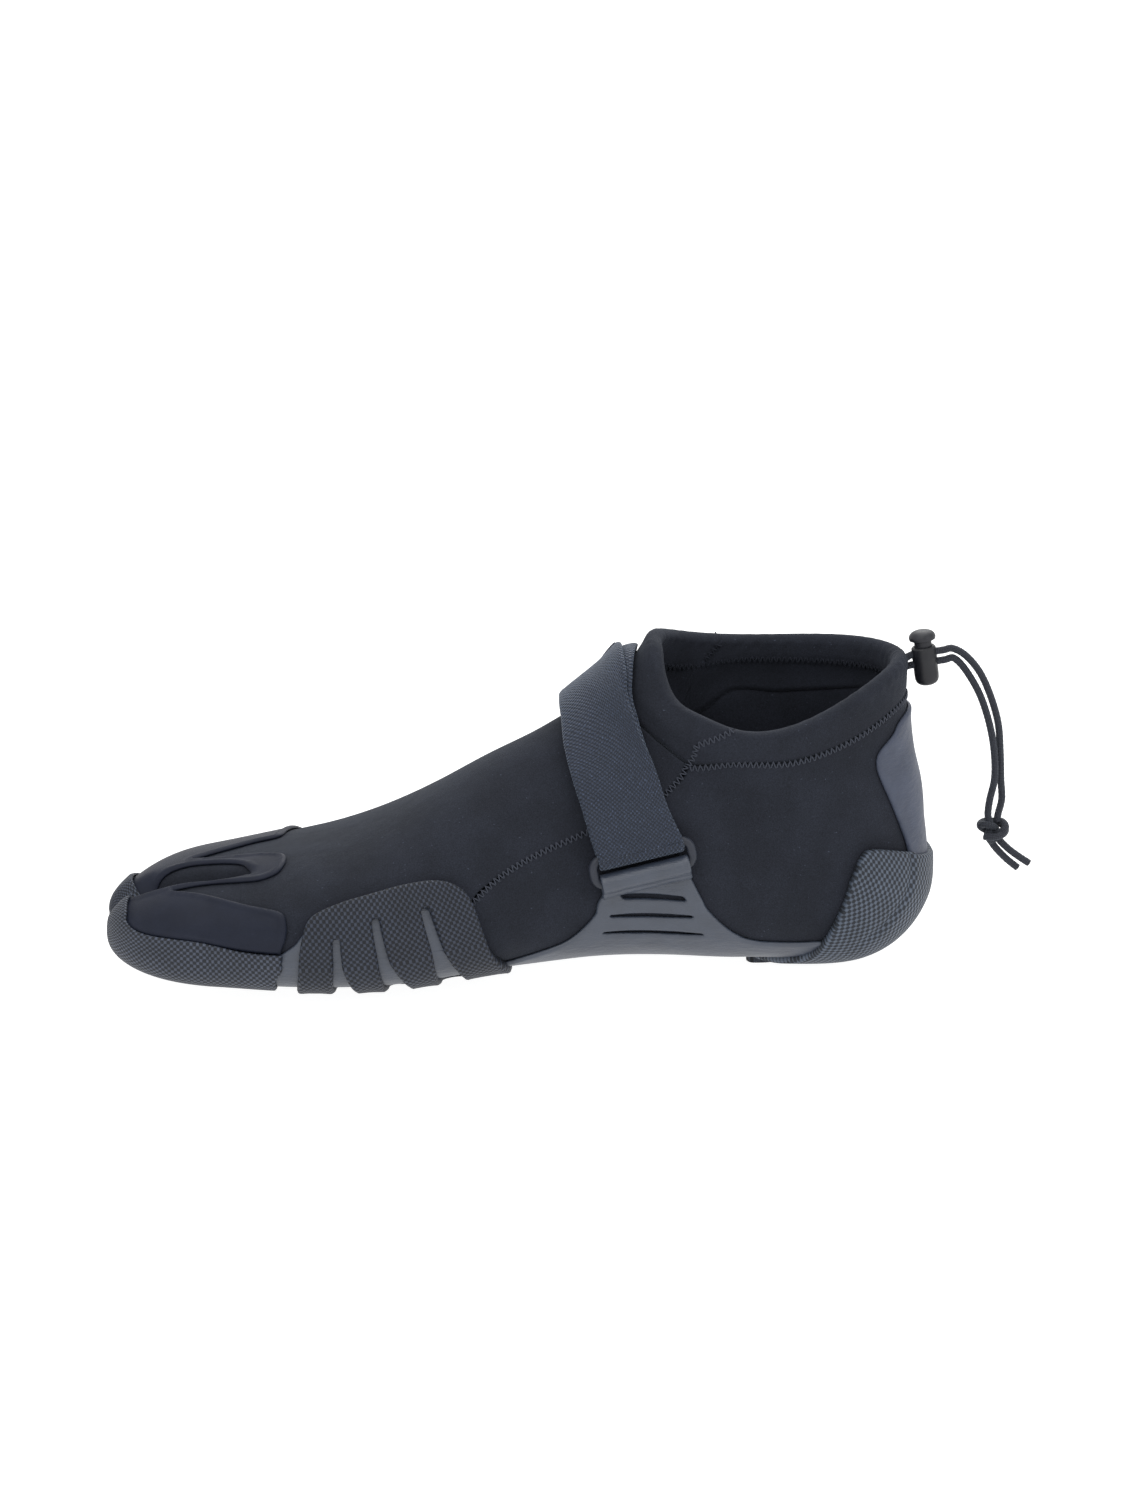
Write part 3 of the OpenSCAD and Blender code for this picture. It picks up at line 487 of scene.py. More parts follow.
def sheet(name, upper, lower, material, kind, *nodes, body="boot", uv=None, wrap=False):
    """A closed sheet between two grids of points."""
    n, m = upper.shape[:2]
    rows = n if wrap else n - 1
    top = np.arange(n * m).reshape(n, m)
    low = top + n * m
    faces = []
    for i in range(rows):
        k = (i + 1) % n
        for j in range(m - 1):
            faces.append((top[i, j], top[k, j], top[k, j + 1], top[i, j + 1]))
            faces.append((low[i, j], low[i, j + 1], low[k, j + 1], low[k, j]))
        faces.append((top[i, 0], low[i, 0], low[k, 0], top[k, 0]))
        faces.append((top[i, m - 1], top[k, m - 1], low[k, m - 1], low[i, m - 1]))
    if not wrap:
        for j in range(m - 1):
            faces.append((top[0, j], top[0, j + 1], low[0, j + 1], low[0, j]))
            faces.append((top[n - 1, j], low[n - 1, j], low[n - 1, j + 1], top[n - 1, j + 1]))
    pts = np.concatenate([upper.reshape(-1, 3), lower.reshape(-1, 3)])
    mid = top[n // 2, m // 2]
    a = pts[top[n // 2, m // 2 - 1]] - pts[mid]
    b = pts[top[n // 2 - 1, m // 2]] - pts[mid]
    if np.dot(np.cross(b, a), pts[mid] - pts[mid + n * m]) < 0:
        faces = [f[::-1] for f in faces]
    corner = None
    if uv is not None:
        flat = uv.reshape(-1, 2)
        corner = np.concatenate([flat[np.array(f) % (n * m)] for f in faces])
    return claim(mesh(name, pts, faces, corner, material, body), kind, *(nodes or (name,)))


# ---- Materials -------------------------------------------------------------
def tint(r, g, b):
    """A colour given as 0 to 255 on the screen, as the renderer wants it."""
    return (*((x / 255 / 12.92 if x < 10.3 else ((x / 255 + 0.055) / 1.055) ** 2.4)
              for x in (r, g, b)), 1)


class Nodes:
    """A material whose nodes are added one after another."""
    def __init__(self, name, colour, rough, metallic=0.0, sheen=0.0, gloss=0.35):
        self.mat = bpy.data.materials.new(name)
        self.mat.use_nodes = True
        self.tree = self.mat.node_tree
        self.bsdf = self.tree.nodes["Principled BSDF"]
        for key, value in (("Base Color", colour), ("Roughness", rough), ("Metallic", metallic),
                           ("Sheen Weight", sheen), ("Sheen Roughness", 0.4),
                           ("Sheen Tint", (0.7, 0.82, 1, 1)), ("Specular IOR Level", gloss)):
            self.bsdf.inputs[key].default_value = value
        self.colour = colour
        self.bump = None

    def add(self, kind, out=0, inputs=(), **values):
        node = self.tree.nodes.new("ShaderNode" + kind)
        for k, v in values.items():
            setattr(node, k, v)
        for key, value in dict(inputs).items():
            if isinstance(value, bpy.types.NodeSocket):
                self.tree.links.new(value, node.inputs[key])
            else:
                node.inputs[key].default_value = value
        return node.outputs[out]

    def math(self, op, a, b=0.0, c=0.0):
        return self.add("Math", inputs={0: a, 1: b, 2: c}, operation=op)

    def millimetres(self):
        """The pattern's own coordinates."""
        return self.add("UVMap", uv_map="mm")

    def space(self):
        """The frame's coordinates in millimetres."""
        return self.add("VectorMath", inputs={0: self.add("TexCoord", out=3), "Scale": 1000.0},
                        operation="SCALE")

    def split(self, vector):
        node = self.tree.nodes.new("ShaderNodeSeparateXYZ")
        self.tree.links.new(vector, node.inputs[0])
        return node.outputs[0], node.outputs[1], node.outputs[2]

    def noise(self, vector, scale, detail=2.0, rough=0.5):
        return self.add("TexNoise", inputs={"Vector": vector, "Scale": scale, "Detail": detail,
                                            "Roughness": rough})

    def ramp(self, x, low, high):
        return self.add("MapRange", inputs={0: x, 1: low, 2: high, 3: 0.0, 4: 1.0},
                        interpolation_type="SMOOTHSTEP")

    def relief(self, height, depth_mm):
        """Adds a bump of that depth."""
        inputs = {"Height": height, "Distance": depth_mm * MM, "Strength": 1.0}
        if self.bump:
            inputs["Normal"] = self.bump
        self.bump = self.add("Bump", inputs=inputs)
        self.tree.links.new(self.bump, self.bsdf.inputs["Normal"])

    def shade(self, amount, low, high):
        """Makes the colour vary between two shares of itself."""
        k = self.add("MapRange", inputs={0: amount, 1: 0.0, 2: 1.0, 3: low, 4: high})
        source = self.bsdf.inputs["Base Color"]
        now = source.links[0].from_socket if source.links else self.colour[:3]
        out = self.add("VectorMath", inputs={0: now, "Scale": k}, operation="SCALE")
        self.tree.links.new(out, source)

    def roughness(self, amount, low, high):
        k = self.add("MapRange", inputs={0: amount, 1: 0.0, 2: 1.0, 3: low, 4: high})
        self.tree.links.new(k, self.bsdf.inputs["Roughness"])

    def wave(self, x, pitch):
        return self.math("COSINE", self.math("MULTIPLY_ADD", x, 2 * math.pi / pitch))


DOT_PITCH, DOT_DEPTH = 2.1, 0.42


def make_neoprene():
    m = Nodes("neoprene", tint(29, 32, 40), 0.9, sheen=0.05, gloss=0.2)
    p = m.space()
    knit = m.noise(p, 2.6, 3, 0.7)
    m.relief(knit, 0.16)
    m.relief(m.noise(p, 0.12, 2), 0.5)
    # Painted shade and highlight: the colour is darker in the knit's hollows and lighter on its raised
    # loops, following the knit bump
    m.shade(m.ramp(knit, 0.3, 0.7), 0.65, 1.3)
    m.shade(m.ramp(m.noise(p, 0.06, 3), 0.35, 0.68), 0.86, 1.12)
    lint = m.ramp(m.noise(p, 0.95, 1), 0.74, 0.8)
    m.shade(lint, 1.0, 2.6)
    return m.mat


def make_thread(name, colour):
    m = Nodes(name, colour, 0.6, sheen=0.08)
    p = m.space()
    m.relief(m.noise(p, 3.5, 2), 0.1)
    m.shade(m.noise(p, 2.0, 2), 0.75, 1.25)
    return m.mat


def make_smooth_rubber(name, colour, wrinkles=0.25, rough=0.52, gloss=0.35):
    m = Nodes(name, colour, rough, gloss=gloss)
    p = m.space()
    grain = m.noise(p, 4.0, 2, 0.6)
    m.relief(grain, 0.05)
    drawn = m.add("VectorMath", inputs={0: p, 1: (0.5, 0.5, 1.6)}, operation="MULTIPLY")
    m.relief(m.noise(drawn, 0.32, 3, 0.6), wrinkles)
    m.shade(m.ramp(m.noise(p, 0.1, 3, 0.6), 0.3, 0.7), 0.9, 1.12)
    m.shade(m.ramp(m.noise(p, 1.3, 2), 0.7, 0.8), 1.0, 1.35)
    m.roughness(grain, rough - 0.1, rough + 0.16)
    return m.mat


def make_textured_rubber(name, colour):
    m = Nodes(name, colour, 0.6)
    a, b, _ = m.split(m.millimetres())
    p = m.space()
    dots = m.ramp(m.math("MULTIPLY", m.wave(a, DOT_PITCH), m.wave(b, DOT_PITCH)), -0.5, 0.5)
    m.relief(dots, DOT_DEPTH)
    # Painted shade and highlight: the colour is darker in the dots' pits and lighter on their tops,
    # following the bump
    m.shade(dots, 0.3, 1.62)
    m.shade(m.ramp(m.noise(p, 0.08, 3, 0.6), 0.3, 0.7), 0.9, 1.12)
    m.roughness(dots, 0.72, 0.5)
    return m.mat


def make_webbing():
    m = Nodes("strap_webbing", tint(32, 39, 53), 0.62, sheen=0.2, gloss=0.3)
    a, b, _ = m.split(m.millimetres())
    wobble = m.math("MULTIPLY", m.noise(m.space(), 0.6, 2), 0.9)
    twill = m.wave(m.math("ADD", m.math("MULTIPLY_ADD", a, 0.75, b), wobble), 1.35)
    other = m.wave(m.math("ADD", m.math("MULTIPLY_ADD", b, -0.8, a), wobble), 1.25)
    weave = m.math("MULTIPLY_ADD", twill, 0.5, m.math("MULTIPLY", other, 0.5))
    height = m.ramp(weave, -0.9, 0.9)
    m.relief(height, 0.36)
    # Painted shade and highlight: the colour is darker in the weave's hollows and lighter on its raised
    # threads, following the bump
    m.shade(height, 0.45, 1.5)
    m.shade(m.ramp(m.noise(m.space(), 1.6, 2, 0.7), 0.56, 0.7), 0.9, 2.4)
    m.shade(m.noise(m.space(), 0.25, 3), 0.85, 1.15)
    return m.mat


def make_cord():
    m = Nodes("cord", tint(38, 41, 50), 0.7, sheen=0.1)
    a, b, _ = m.split(m.millimetres())
    lay = m.math("MULTIPLY", m.wave(m.math("ADD", a, b), 1.15), m.wave(m.math("SUBTRACT", a, b), 1.15))
    height = m.ramp(lay, -0.7, 0.8)
    m.relief(height, 0.25)
    # Painted shade and highlight: the colour is darker in the braid's hollows and lighter on its
    # strands, following the bump
    m.shade(height, 0.5, 1.25)
    m.shade(m.noise(m.space(), 0.9, 2), 0.85, 1.15)
    return m.mat


def make_plastic(name, colour, rough=0.42, metallic=0.0):
    m = Nodes(name, colour, rough, metallic)
    p = m.space()
    m.relief(m.noise(p, 2.4, 3, 0.6), 0.03)
    wear = m.ramp(m.noise(p, 0.5, 4, 0.7), 0.45, 0.75)
    m.shade(wear, 0.95, 1.25)
    m.roughness(wear, rough, rough + 0.16)
    return m.mat


NEOPRENE = make_neoprene()
THREAD = make_thread("thread", tint(42, 46, 57))
PALE_THREAD = make_thread("strap_thread", tint(96, 100, 112))
OVERLAY = make_smooth_rubber("overlay_rubber", tint(24, 28, 40), 0.12, 0.5, 0.15)
SMOOTH = make_smooth_rubber("smooth_rubber", tint(45, 52, 65), 0.45, 0.42, 0.7)
HEEL_TAB = make_smooth_rubber("heel_rubber", tint(56, 62, 77), 0.45)
TOE_GRIP = make_textured_rubber("toe_rubber", tint(45, 50, 61))
SOLE_GRIP = make_textured_rubber("sole_rubber", tint(32, 37, 48))
HEEL_GRIP = make_textured_rubber("heel_grip_rubber", tint(57, 64, 75))
WEBBING = make_webbing()
CORD = make_cord()
RING_PLASTIC = make_plastic("ring_plastic", tint(34, 38, 48))
LOCK_PLASTIC = make_plastic("lock_plastic", tint(20, 21, 26))
BUTTON_PLASTIC = make_plastic("button_plastic", tint(27, 28, 34))
STEEL = make_plastic("spring_steel", (0.55, 0.55, 0.56, 1), 0.3, 1.0)
TAPE = make_plastic("seam_tape", tint(24, 26, 32), 0.6)
FOOTBED = make_thread("footbed", tint(44, 47, 56))

# ---- Ring and strap frames -------------------------------------------------
def bare(u, v):
    """The outer face without the split and the waves, in the frame's axes."""
    return face(u, v) + SHIFT


# The ring's frame: X along its bars, Y over the instep, Z away from the boot
RING_Z = outward(5.98, 73)
_bar = bare(5.36, 71) - bare(6.67, 74.5)
RING_X = _bar - RING_Z * np.dot(_bar, RING_Z)
RING_X /= np.linalg.norm(RING_X)
RING_Y = np.cross(RING_Z, RING_X)
RING_C = bare(5.98, 73) - RING_X * 2.1
BAR_H, BAR_R, BAR_PITCH, RING_W, STRAP_T, STRAP_GAP = 4.9, 1.6, 8.6, 30.6, 2.0, 0.35
STRAP_W, WEB_W, STEP_MM, CROWN = RING_W - 1.4, 26, 4.6, 1.9
# The strap's two edges, u and v of each, and its height; from the ring over the instep to its end
STRAP = np.array([
    [6.6, 66, 5.3, 62, 1.6], [6.32, 54, 4.81, 54, 1.6], [6.11, 42, 4.1, 43, 2.0],
    [5.82, 28, 2.75, 29, 2.6], [5.38, 12, 1.7, 13, 2.9], [5.15, -4, 1.42, -4, 2.9],
    [5.3, -20, 1.8, -20, 2.8], [5.6, -34, 2.9, -35, 2.4], [6.05, -48, 4.2, -48, 1.9],
    [6.4, -62, 5.1, -60, 1.9], [6.7, -76, 5.5, -74, 2.3], [6.86, -83, 5.7, -82, 2.4]], float)
STEPS, CREST, TAIL_END = 33, 15, 19
LAYER_LOW = BAR_H - BAR_R - 0.2 - STRAP_T
LAYER_HIGH = BAR_H + BAR_R + 0.15
TAIL_BASE = STRAP_T + STRAP_GAP


def on_ring(x, y, z):
    """Points given in the ring's frame."""
    return (RING_C + np.multiply.outer(x, RING_X) + np.multiply.outer(y, RING_Y)
            + np.multiply.outer(z, RING_Z))


def strap_point(i, t, base, lead):
    """Step i along the strap and share t of its width; base is its height, lead that at the ring."""
    i, t, base, lead = np.broadcast_arrays(*(np.asarray(x, float) for x in (i, t, base, lead)))
    q = i / STEPS * (len(STRAP) - 1)
    r = spline(STRAP, q)
    near = smooth(q / 1.2)[..., None]
    u, v = r[..., 0] + (r[..., 2] - r[..., 0]) * t, r[..., 1] + (r[..., 3] - r[..., 1]) * t
    crown = CROWN * 4 * t * np.clip(1 - t, -0.08, 1) * np.exp(-((q - 5) / 1.8) ** 2)
    a = bare(u, v) + outward(u, v) * (r[..., 4] + base + crown)[..., None]
    b = on_ring((t - 0.5) * STRAP_W, BAR_PITCH / 2 + 9 * q, lead)
    return b * (1 - near) + a * near


# ---- Drawcord --------------------------------------------------------------
LOCK_C = np.array([277.8, 0, 104]) + SHIFT
TILT = math.radians(8)
LOCK_X = np.array([math.cos(TILT), 0, math.sin(TILT)])
LOCK_Z = np.array([-math.sin(TILT), 0, math.cos(TILT)])
LOCK_R, STACK, CORD_D = 4.2, 1.75, 2.5
LATHE_SIDES = 56
BRAID_STEP, BRAID_ROUND, CORD_SIDES, KNOT_R = 0.45, 8.05, 20, 1.3
# The free strands and tails, x and z of their points
UPPER = [[292, 104.5], [297, 98.5], [301, 90], [304, 80], [305, 70], [305.5, 60], [306, 53],
         [305, 48], [304.4, 44.8]]
LOWER = [[292, 99.5], [297, 91], [300.5, 81], [302.5, 71], [303, 61], [301.5, 53], [301, 48],
         [301.6, 44.8]]
TAILS = [[[303.5, 40.5], [306, 37.5], [309, 34.6], [312.5, 31.9], [316, 29.5]],
         [[301, 41], [303, 37], [305.4, 34], [308.6, 30.8], [312, 28]]]


def middle(x, z, y=0.0):
    return np.array([x, y, z]) + SHIFT


def lock_point(x, z, y=0.0):
    return LOCK_C + LOCK_X * x + LOCK_Z * z + np.array([0, y, 0])


def braid(name, path, node):
    """A round cord along a path, with its pattern in millimetres along it and round it."""
    path = spaced(path, BRAID_STEP)
    radius = np.full(len(path), CORD_D / 2) + 0.03 * np.sin(np.arange(len(path)) * 1.7)
    points, faces = tube(path, radius, CORD_SIDES)
    uv = []
    for f in faces:
        if len(f) == 4:
            i, j = divmod(f[0], CORD_SIDES)
            x0, x1 = i * BRAID_STEP, (i + 1) * BRAID_STEP
            a0, a1 = j / CORD_SIDES * BRAID_ROUND, (j + 1) / CORD_SIDES * BRAID_ROUND
            uv += [(x0, a0), (x0, a1), (x1, a1), (x1, a0)]
        else:
            uv += [(0.6 * math.cos(k), 0.6 * math.sin(k)) for k in range(len(f))]
    return claim(crease(mesh(name, points, faces, uv, CORD), 60), "cord", node), path


def strand(name, points, z, y):
    line = [lock_point(x, z) for x in (LOCK_R, 7, 10)]
    line += [middle(p[0], p[1], y * float(smooth(i / 3))) for i, p in enumerate(points)]
    return braid(name, curve(line, fine=20), name)


def knot_path():
    """An overhand knot with both cords in it: a tight closed turn seen from the side."""
    t = np.linspace(0, 2 * np.pi, 73)[:-1]
    x = np.sin(t) + 1.55 * np.sin(2 * t)
    z = np.cos(t) - 1.55 * np.cos(2 * t)
    y = -np.sin(3 * t)
    return np.stack([303 + 1.85 * x, 2.1 * y, 42 + 1.5 * z], 1) + SHIFT


def build_cords():
    upper, up_path = strand("cord_strand_upper", UPPER, STACK, 0.8)
    lower, low_path = strand("cord_strand_lower", LOWER, -STACK, -0.8)
    path = knot_path()
    wrap = [middle(303 + 4.4 * math.cos(a), 42.2 + 1.1 * math.sin(a) + 0.45 * a, 3.6 * math.sin(a))
            for a in np.linspace(-2.4, 3.4, 40)]
    points, faces = gather([tube(spaced(line, 0.6), KNOT_R, 16)
                            for line in (np.concatenate([path, path[:1]]), np.array(wrap))])
    uv = [(0.25 * k, 0.5 * (i % 16)) for f in faces for k, i in enumerate(f)]
    knot = claim(mesh("cord_knot", points, faces, uv, CORD), "cord", "cord_knot")
    tails = [braid(name, curve([middle(*p) for p in line], fine=20), "cord_tails")[0]
             for name, line in zip(("cord_tail_upper", "cord_tail_lower"), TAILS)]
    # Round the ankle inside the cuff
    line = [lock_point(LOCK_R, -STACK), lock_point(0, -STACK), lock_point(-4.6, -STACK)]
    line += [bare(u, v) + outward(u, v) * -deep for u, v, deep in (
        (0.64, -177, 1.6), (0.5, -172, 2.6), *((0.4, v, 3) for v in range(-165, 166, 10)),
        (0.4, 172, 2.6), (0.34, 177, 1.6))]
    line += [lock_point(-4.6, STACK), lock_point(0, STACK), lock_point(LOCK_R, STACK)]
    braid("drawcord", curve(line, fine=10), "drawcord")


def lathe(name, profile, material, body, bores):
    """A turned plastic piece on the cord lock's axis; profile has radius and height, from below.

    bores are the height and radius of the holes for the cords.
    """
    ang = np.arange(LATHE_SIDES) * 2 * np.pi / LATHE_SIDES
    pts = np.array([LOCK_C + LOCK_X * (r * math.cos(a)) + np.array([0, r * math.sin(a), 0]) + LOCK_Z * z
                    for r, z in profile for a in ang])
    piece = mesh(name, pts, stacked(len(profile), LATHE_SIDES), None, material, body)
    for height, radius in bores:
        bpy.ops.mesh.primitive_cylinder_add(radius=radius * MM, depth=30 * MM, vertices=28,
                                            location=tuple(lock_point(0, height) * MM),
                                            rotation=(0, math.pi / 2 - TILT, 0))
        cutter = bpy.context.object
        mod = piece.modifiers.new("bore", "BOOLEAN")
        mod.object, mod.operation, mod.solver = cutter, "DIFFERENCE", "EXACT"
        bpy.context.view_layer.objects.active = piece
        bpy.ops.object.modifier_apply(modifier=mod.name)
        bpy.data.objects.remove(cutter)
    claim(crease(piece, 35), "lock_plastic", name)


def build_lock():
    low, top = -9.4, 4.2
    body = [(1.2, low), (2.2, low + 0.12), (3.1, low + 0.55), (3.8, low + 1.3), (4.12, low + 2.3),
            (LOCK_R, low + 3.6), (LOCK_R, low + 9), (LOCK_R + 0.1, low + 9.4),
            (LOCK_R + 0.1, low + 10.2), (LOCK_R, low + 10.6), (LOCK_R, top - 0.5), (LOCK_R - 0.4, top),
            (3.25, top), (3.25, low + 1)]
    lathe("cord_lock_barrel", body, LOCK_PLASTIC, "lock", ((STACK, 1.5), (-STACK, 1.5)))
    head = 6.4
    cap = [(2.2, -4.4), (2.95, -4.3), (3, -3.8), (3, head - 0.1), (3.9, head), (4.45, head + 0.3),
           (4.6, head + 0.9), (4.55, head + 1.5), (4.25, head + 2.15), (3.65, head + 2.75),
           (2.75, head + 3.2), (1.6, head + 3.45), (0.7, head + 3.5)]
    lathe("cord_lock_button", cap, BUTTON_PLASTIC, "button", ((STACK + 1, 1.55), (-STACK, 1.55)))
    turns, r, z0, z1 = 3, LOCK_R - 2, low + 1.3, -4.7
    line = np.array([lock_point(r * math.cos(a), z0 + (z1 - z0) * a / (2 * np.pi * turns),
                                r * math.sin(a)) for a in np.linspace(0, 2 * np.pi * turns, 110)])
    points, faces = tube(line, 0.25, 10)
    spring = mesh("cord_lock_spring", points, faces, None, STEEL, "lock")
    claim(spring, "spring_steel", "cord_lock_spring")
    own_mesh(spring)


# ---- Upper -----------------------------------------------------------------
FOAM = 3.0
FOAM_MESH = {"space": 2.0, "rings": (0.4, 0.9, 1.6)}


def soft_edge(d, u, v):
    """The rounded edge of a foam panel."""
    x = np.clip(d, 0, 1)
    return -0.4 * (1 - np.sqrt(1 - (1 - x) ** 2))


def build_upper():
    side = [[10.6, 140], [9.4, 140], [8.53, 136], [8.38, 118], [8.28, 96], [8.1, 72.4], [7.64, 65],
            [6.63, 60.95], [5.6, 56.95], [4.5, 53.5], [3.49, 53.3]]
    edge = outline(Strip, [side, [[3.49, 53.3], [3.4, 34], [3.38, 17], [3.375, 0], [3.38, -17],
                                  [3.4, -34], [3.49, -53.3]],
                           over_top(side), [[10.6, v] for v in range(-140, 141, 70)]], 1.2)
    panel("vamp", Strip, edge, -FOAM, lambda d, u, v: soft_edge(d, u, v) * (u < 10.2),
          NEOPRENE, "neoprene", **FOAM_MESH)
    v = np.linspace(0, 360, 181)[:-1]
    levels = LAST - 0.01 - (LAST - 0.01 - 10.45) * np.linspace(0, 1, 40) ** 1.2
    uu, vv = np.meshgrid(levels, v)
    sheet("vamp_toe", skin(uu, vv, -0.05), skin(uu, vv, -FOAM), NEOPRENE, "neoprene", "vamp", wrap=True)
    rear = [[8.48, 138.5], [8.34, 112], [8.2, 84], [8.09, 72.7], [7.63, 65.25], [6.62, 61.2],
            [5.6, 57.2], [4.5, 53.8], [3.48, 54.4]]
    collar = [[3.48, 54.4], [2.18, 77], [1.88, 100], [1.58, 124], [1.3, 150], [1.2, 179.8]]
    under = [[4.7, 179.8], [4.76, 175], [4.85, 165], [5.05, 156], [5.5, 152], [5.9, 150],
             [6.4, 148.3], [7, 146], [7.6, 144], [8.2, 140], [8.48, 138.5]]
    half = [rear, collar, [[1.2, 179.8], [2.4, 179.8], [3.6, 179.8], [4.7, 179.8]], under]
    for name, runs in (("quarter_medial", half),
                       ("quarter_lateral", [mirror(run) for run in reversed(half)])):
        panel(name, Strip, outline(Strip, runs, 1.2), -FOAM, soft_edge, NEOPRENE, "neoprene",
              **FOAM_MESH)
    # Under the foot, inside and out of sight; rows are u and v of the inner edge
    for name, rows, low, high, swell, finish, kind in (
            ("sole_panel", [[11.36, 143], [10, 140.6], [8.5, 140.3], [7, 147], [5.6, 153], [5, 158],
                            [4.86, 174]], -FOAM, 0, 0, NEOPRENE, "neoprene"),
            ("insole", [[11.16, 140], [10.6, 138], [9.6, 138], [8.5, 140], [7, 146], [5.8, 146],
                        [5, 152], [4.75, 168]], -6.8, -3.8, 0.4, FOOTBED, "footbed")):
        r = spline(rows, np.linspace(0, len(rows) - 1, 100))
        t = np.linspace(0, 1, 40)
        u = np.repeat(r[:, :1], 40, 1)
        v = r[:, 1:] + (360 - 2 * r[:, 1:]) * t
        dome = swell * np.sqrt(np.clip(np.minimum(t, 1 - t) * 14, 0, 1))[None, :]
        piece = sheet(name, skin(u, v, high * np.ones_like(u)),
                      skin(u, v, low - (dome - swell) * np.ones_like(u)), finish, kind)
    # The web behind the split
    web = [[20, 15], [46, 13], [46, 20], [36, 28], [26, 26], [20, 21]]
    line = loop(Flat, web, 1.0)
    pts = [np.array([x, s - 15, z]) + SHIFT for s in (-1, 1) for x, z in line]
    piece = crease(mesh("toe_divider", pts, stacked(2, len(line)), None, NEOPRENE), 50)
    claim(piece, "neoprene", "toe_divider")
    for name, s in (("seam_tape_iner", 1), ("seam_tape_outer", -1)):
        ribs = spline([[4.2, 49, 58], [5.6, 53, 61], [6.6, 57, 65], [7.6, 61, 69.5]],
                      np.linspace(0, 3, 50))
        t = np.linspace(0, 1, 8)
        u, v = np.repeat(ribs[:, :1], 8, 1), s * (ribs[:, 1:2] + (ribs[:, 2:] - ribs[:, 1:2]) * t)
        bulge = 0.12 * np.sin(np.pi * t)[None, :] * np.ones_like(u)
        sheet(name, skin(u, v, -3.4 * np.ones_like(u)), skin(u, v, -3.8 - bulge), TAPE, "seam_tape",
              "seam_tape")


def lining(w):
    """Height of the cuff's inner face, from its fold, 0, to its lower edge, 1."""
    return -6 + 2.7 * smooth((w - 0.25) / 0.6)


FOLD = 0.42


def cuff(name, node, ribs, start, stop, n, mouth=()):
    """One strip folded over the cord: ribs are [u of the lower edge, v there, v at the rim].

    It takes the share of the ribs' length from start to stop. If there is a mouth, the strip's end
    is closed at the back but for the mouth's columns.
    """
    fold, tunnel, thick = FOLD, 1.9, 1.1
    r = spline(ribs, np.linspace(start, stop, n) * (len(ribs) - 1))
    outer, inner = [], []
    mid = -tunnel - thick
    for leg, low, rim in r:
        prof = []
        for k in range(13):
            w = k / 12
            lip = 0.55 * math.exp(-w * leg * 9 / 0.9) if k < 12 else 0
            prof.append((leg * (1 - w) + fold * w, -lip, -thick))
        for a in range(10, 171, 10):
            c, s = math.cos(math.radians(a)), math.sin(math.radians(a))
            prof.append((fold * (1 - s), mid + (tunnel + thick) * c, mid + tunnel * c,
                         fold * (1 - s * tunnel / (tunnel + thick))))
        for k in range(14):
            h = lining(k / 13)
            prof.append((fold + (leg + 0.16 - fold) * k / 13, h, h + thick * (1 - 0.75 * k / 13)))
        o, i = [], []
        for p in prof:
            w = min(1, p[0] / leg)
            v = low + (rim - low) * (1 - w)
            o.append((p[0], v, p[1]))
            i.append((p[3] if len(p) > 3 else p[0], v, p[2]))
        outer.append(o)
        inner.append(i)
    o, i = np.array(outer), np.array(inner)
    if mouth:
        for g in (o, i):
            far = abs(180 - g[..., 1])
            gap = far.min(0)
            shift = gap * np.clip((30 - far) / (30 - gap), 0, 1)
            shift[:, mouth] = 0
            g[..., 1] += np.sign(180 - g[..., 1]) * shift
    def place(g):
        u, v, h = g[..., 0], g[..., 1], g[..., 2]
        pucker = 0.16 * np.sin(v * 0.9) * np.sin(u * 5 + v * 0.11) * smooth((1.2 - u) / 0.8)
        return bare(u, v) + outward(np.maximum(u, 0.02), v) * (h + pucker)[..., None]
    sheet(name, place(o), place(i), NEOPRENE, "neoprene", node)


def build_cuff():
    cuff("cuff_front", "cuff_front", [[3.47, -54, -68.1], [3.38, -34, -44], [3.36, 0, 0],
                                      [3.38, 34, 44], [3.47, 54, 68.1]], 0, 1, 100)
    half = [[3.46, 54.1, 68.2], [2.16, 77, 88], [1.86, 100, 106], [1.56, 124, 128],
            [1.28, 150, 152]]
    ribs = half + [[1.18, 180, 180]] + [[a, 360 - b, 360 - c] for a, b, c in reversed(half)]
    # Two halves that meet above and below the mouth that the cord comes out of
    mouth = list(range(7, 15))
    cuff("cuff_rear_medial", "cuff_rear", ribs, 0, 0.487, 90, mouth)
    cuff("cuff_rear_lateral", "cuff_rear", ribs, 0.513, 1, 90, mouth)


def zigzag(path, normals, lift=0.28):
    """A zigzag thread along a line on the surface."""
    pitch, reach = 1.9, 1.25
    far = length_along(path)
    n = int(far[-1] / (pitch / 2))
    pts = []
    for k in range(n + 1):
        for part, h in ((0.0, -0.12), (0.25, lift), (0.75, lift)):
            at = min(far[-1], (k + part) * pitch / 2)
            p = np.array([np.interp(at, far, path[:, i]) for i in range(3)])
            nn = np.array([np.interp(at, far, normals[:, i]) for i in range(3)])
            t = np.array([np.interp(min(at + 0.5, far[-1]), far, path[:, i])
                          - np.interp(max(at - 0.5, 0), far, path[:, i]) for i in range(3)])
            side = np.cross(t, nn)
            side /= np.linalg.norm(side)
            w = (1 - 2 * part) * (1 if k % 2 else -1)
            pts.append(p + side * reach * w + nn / np.linalg.norm(nn) * h)
    return tube(np.array(pts), 0.25, 6)


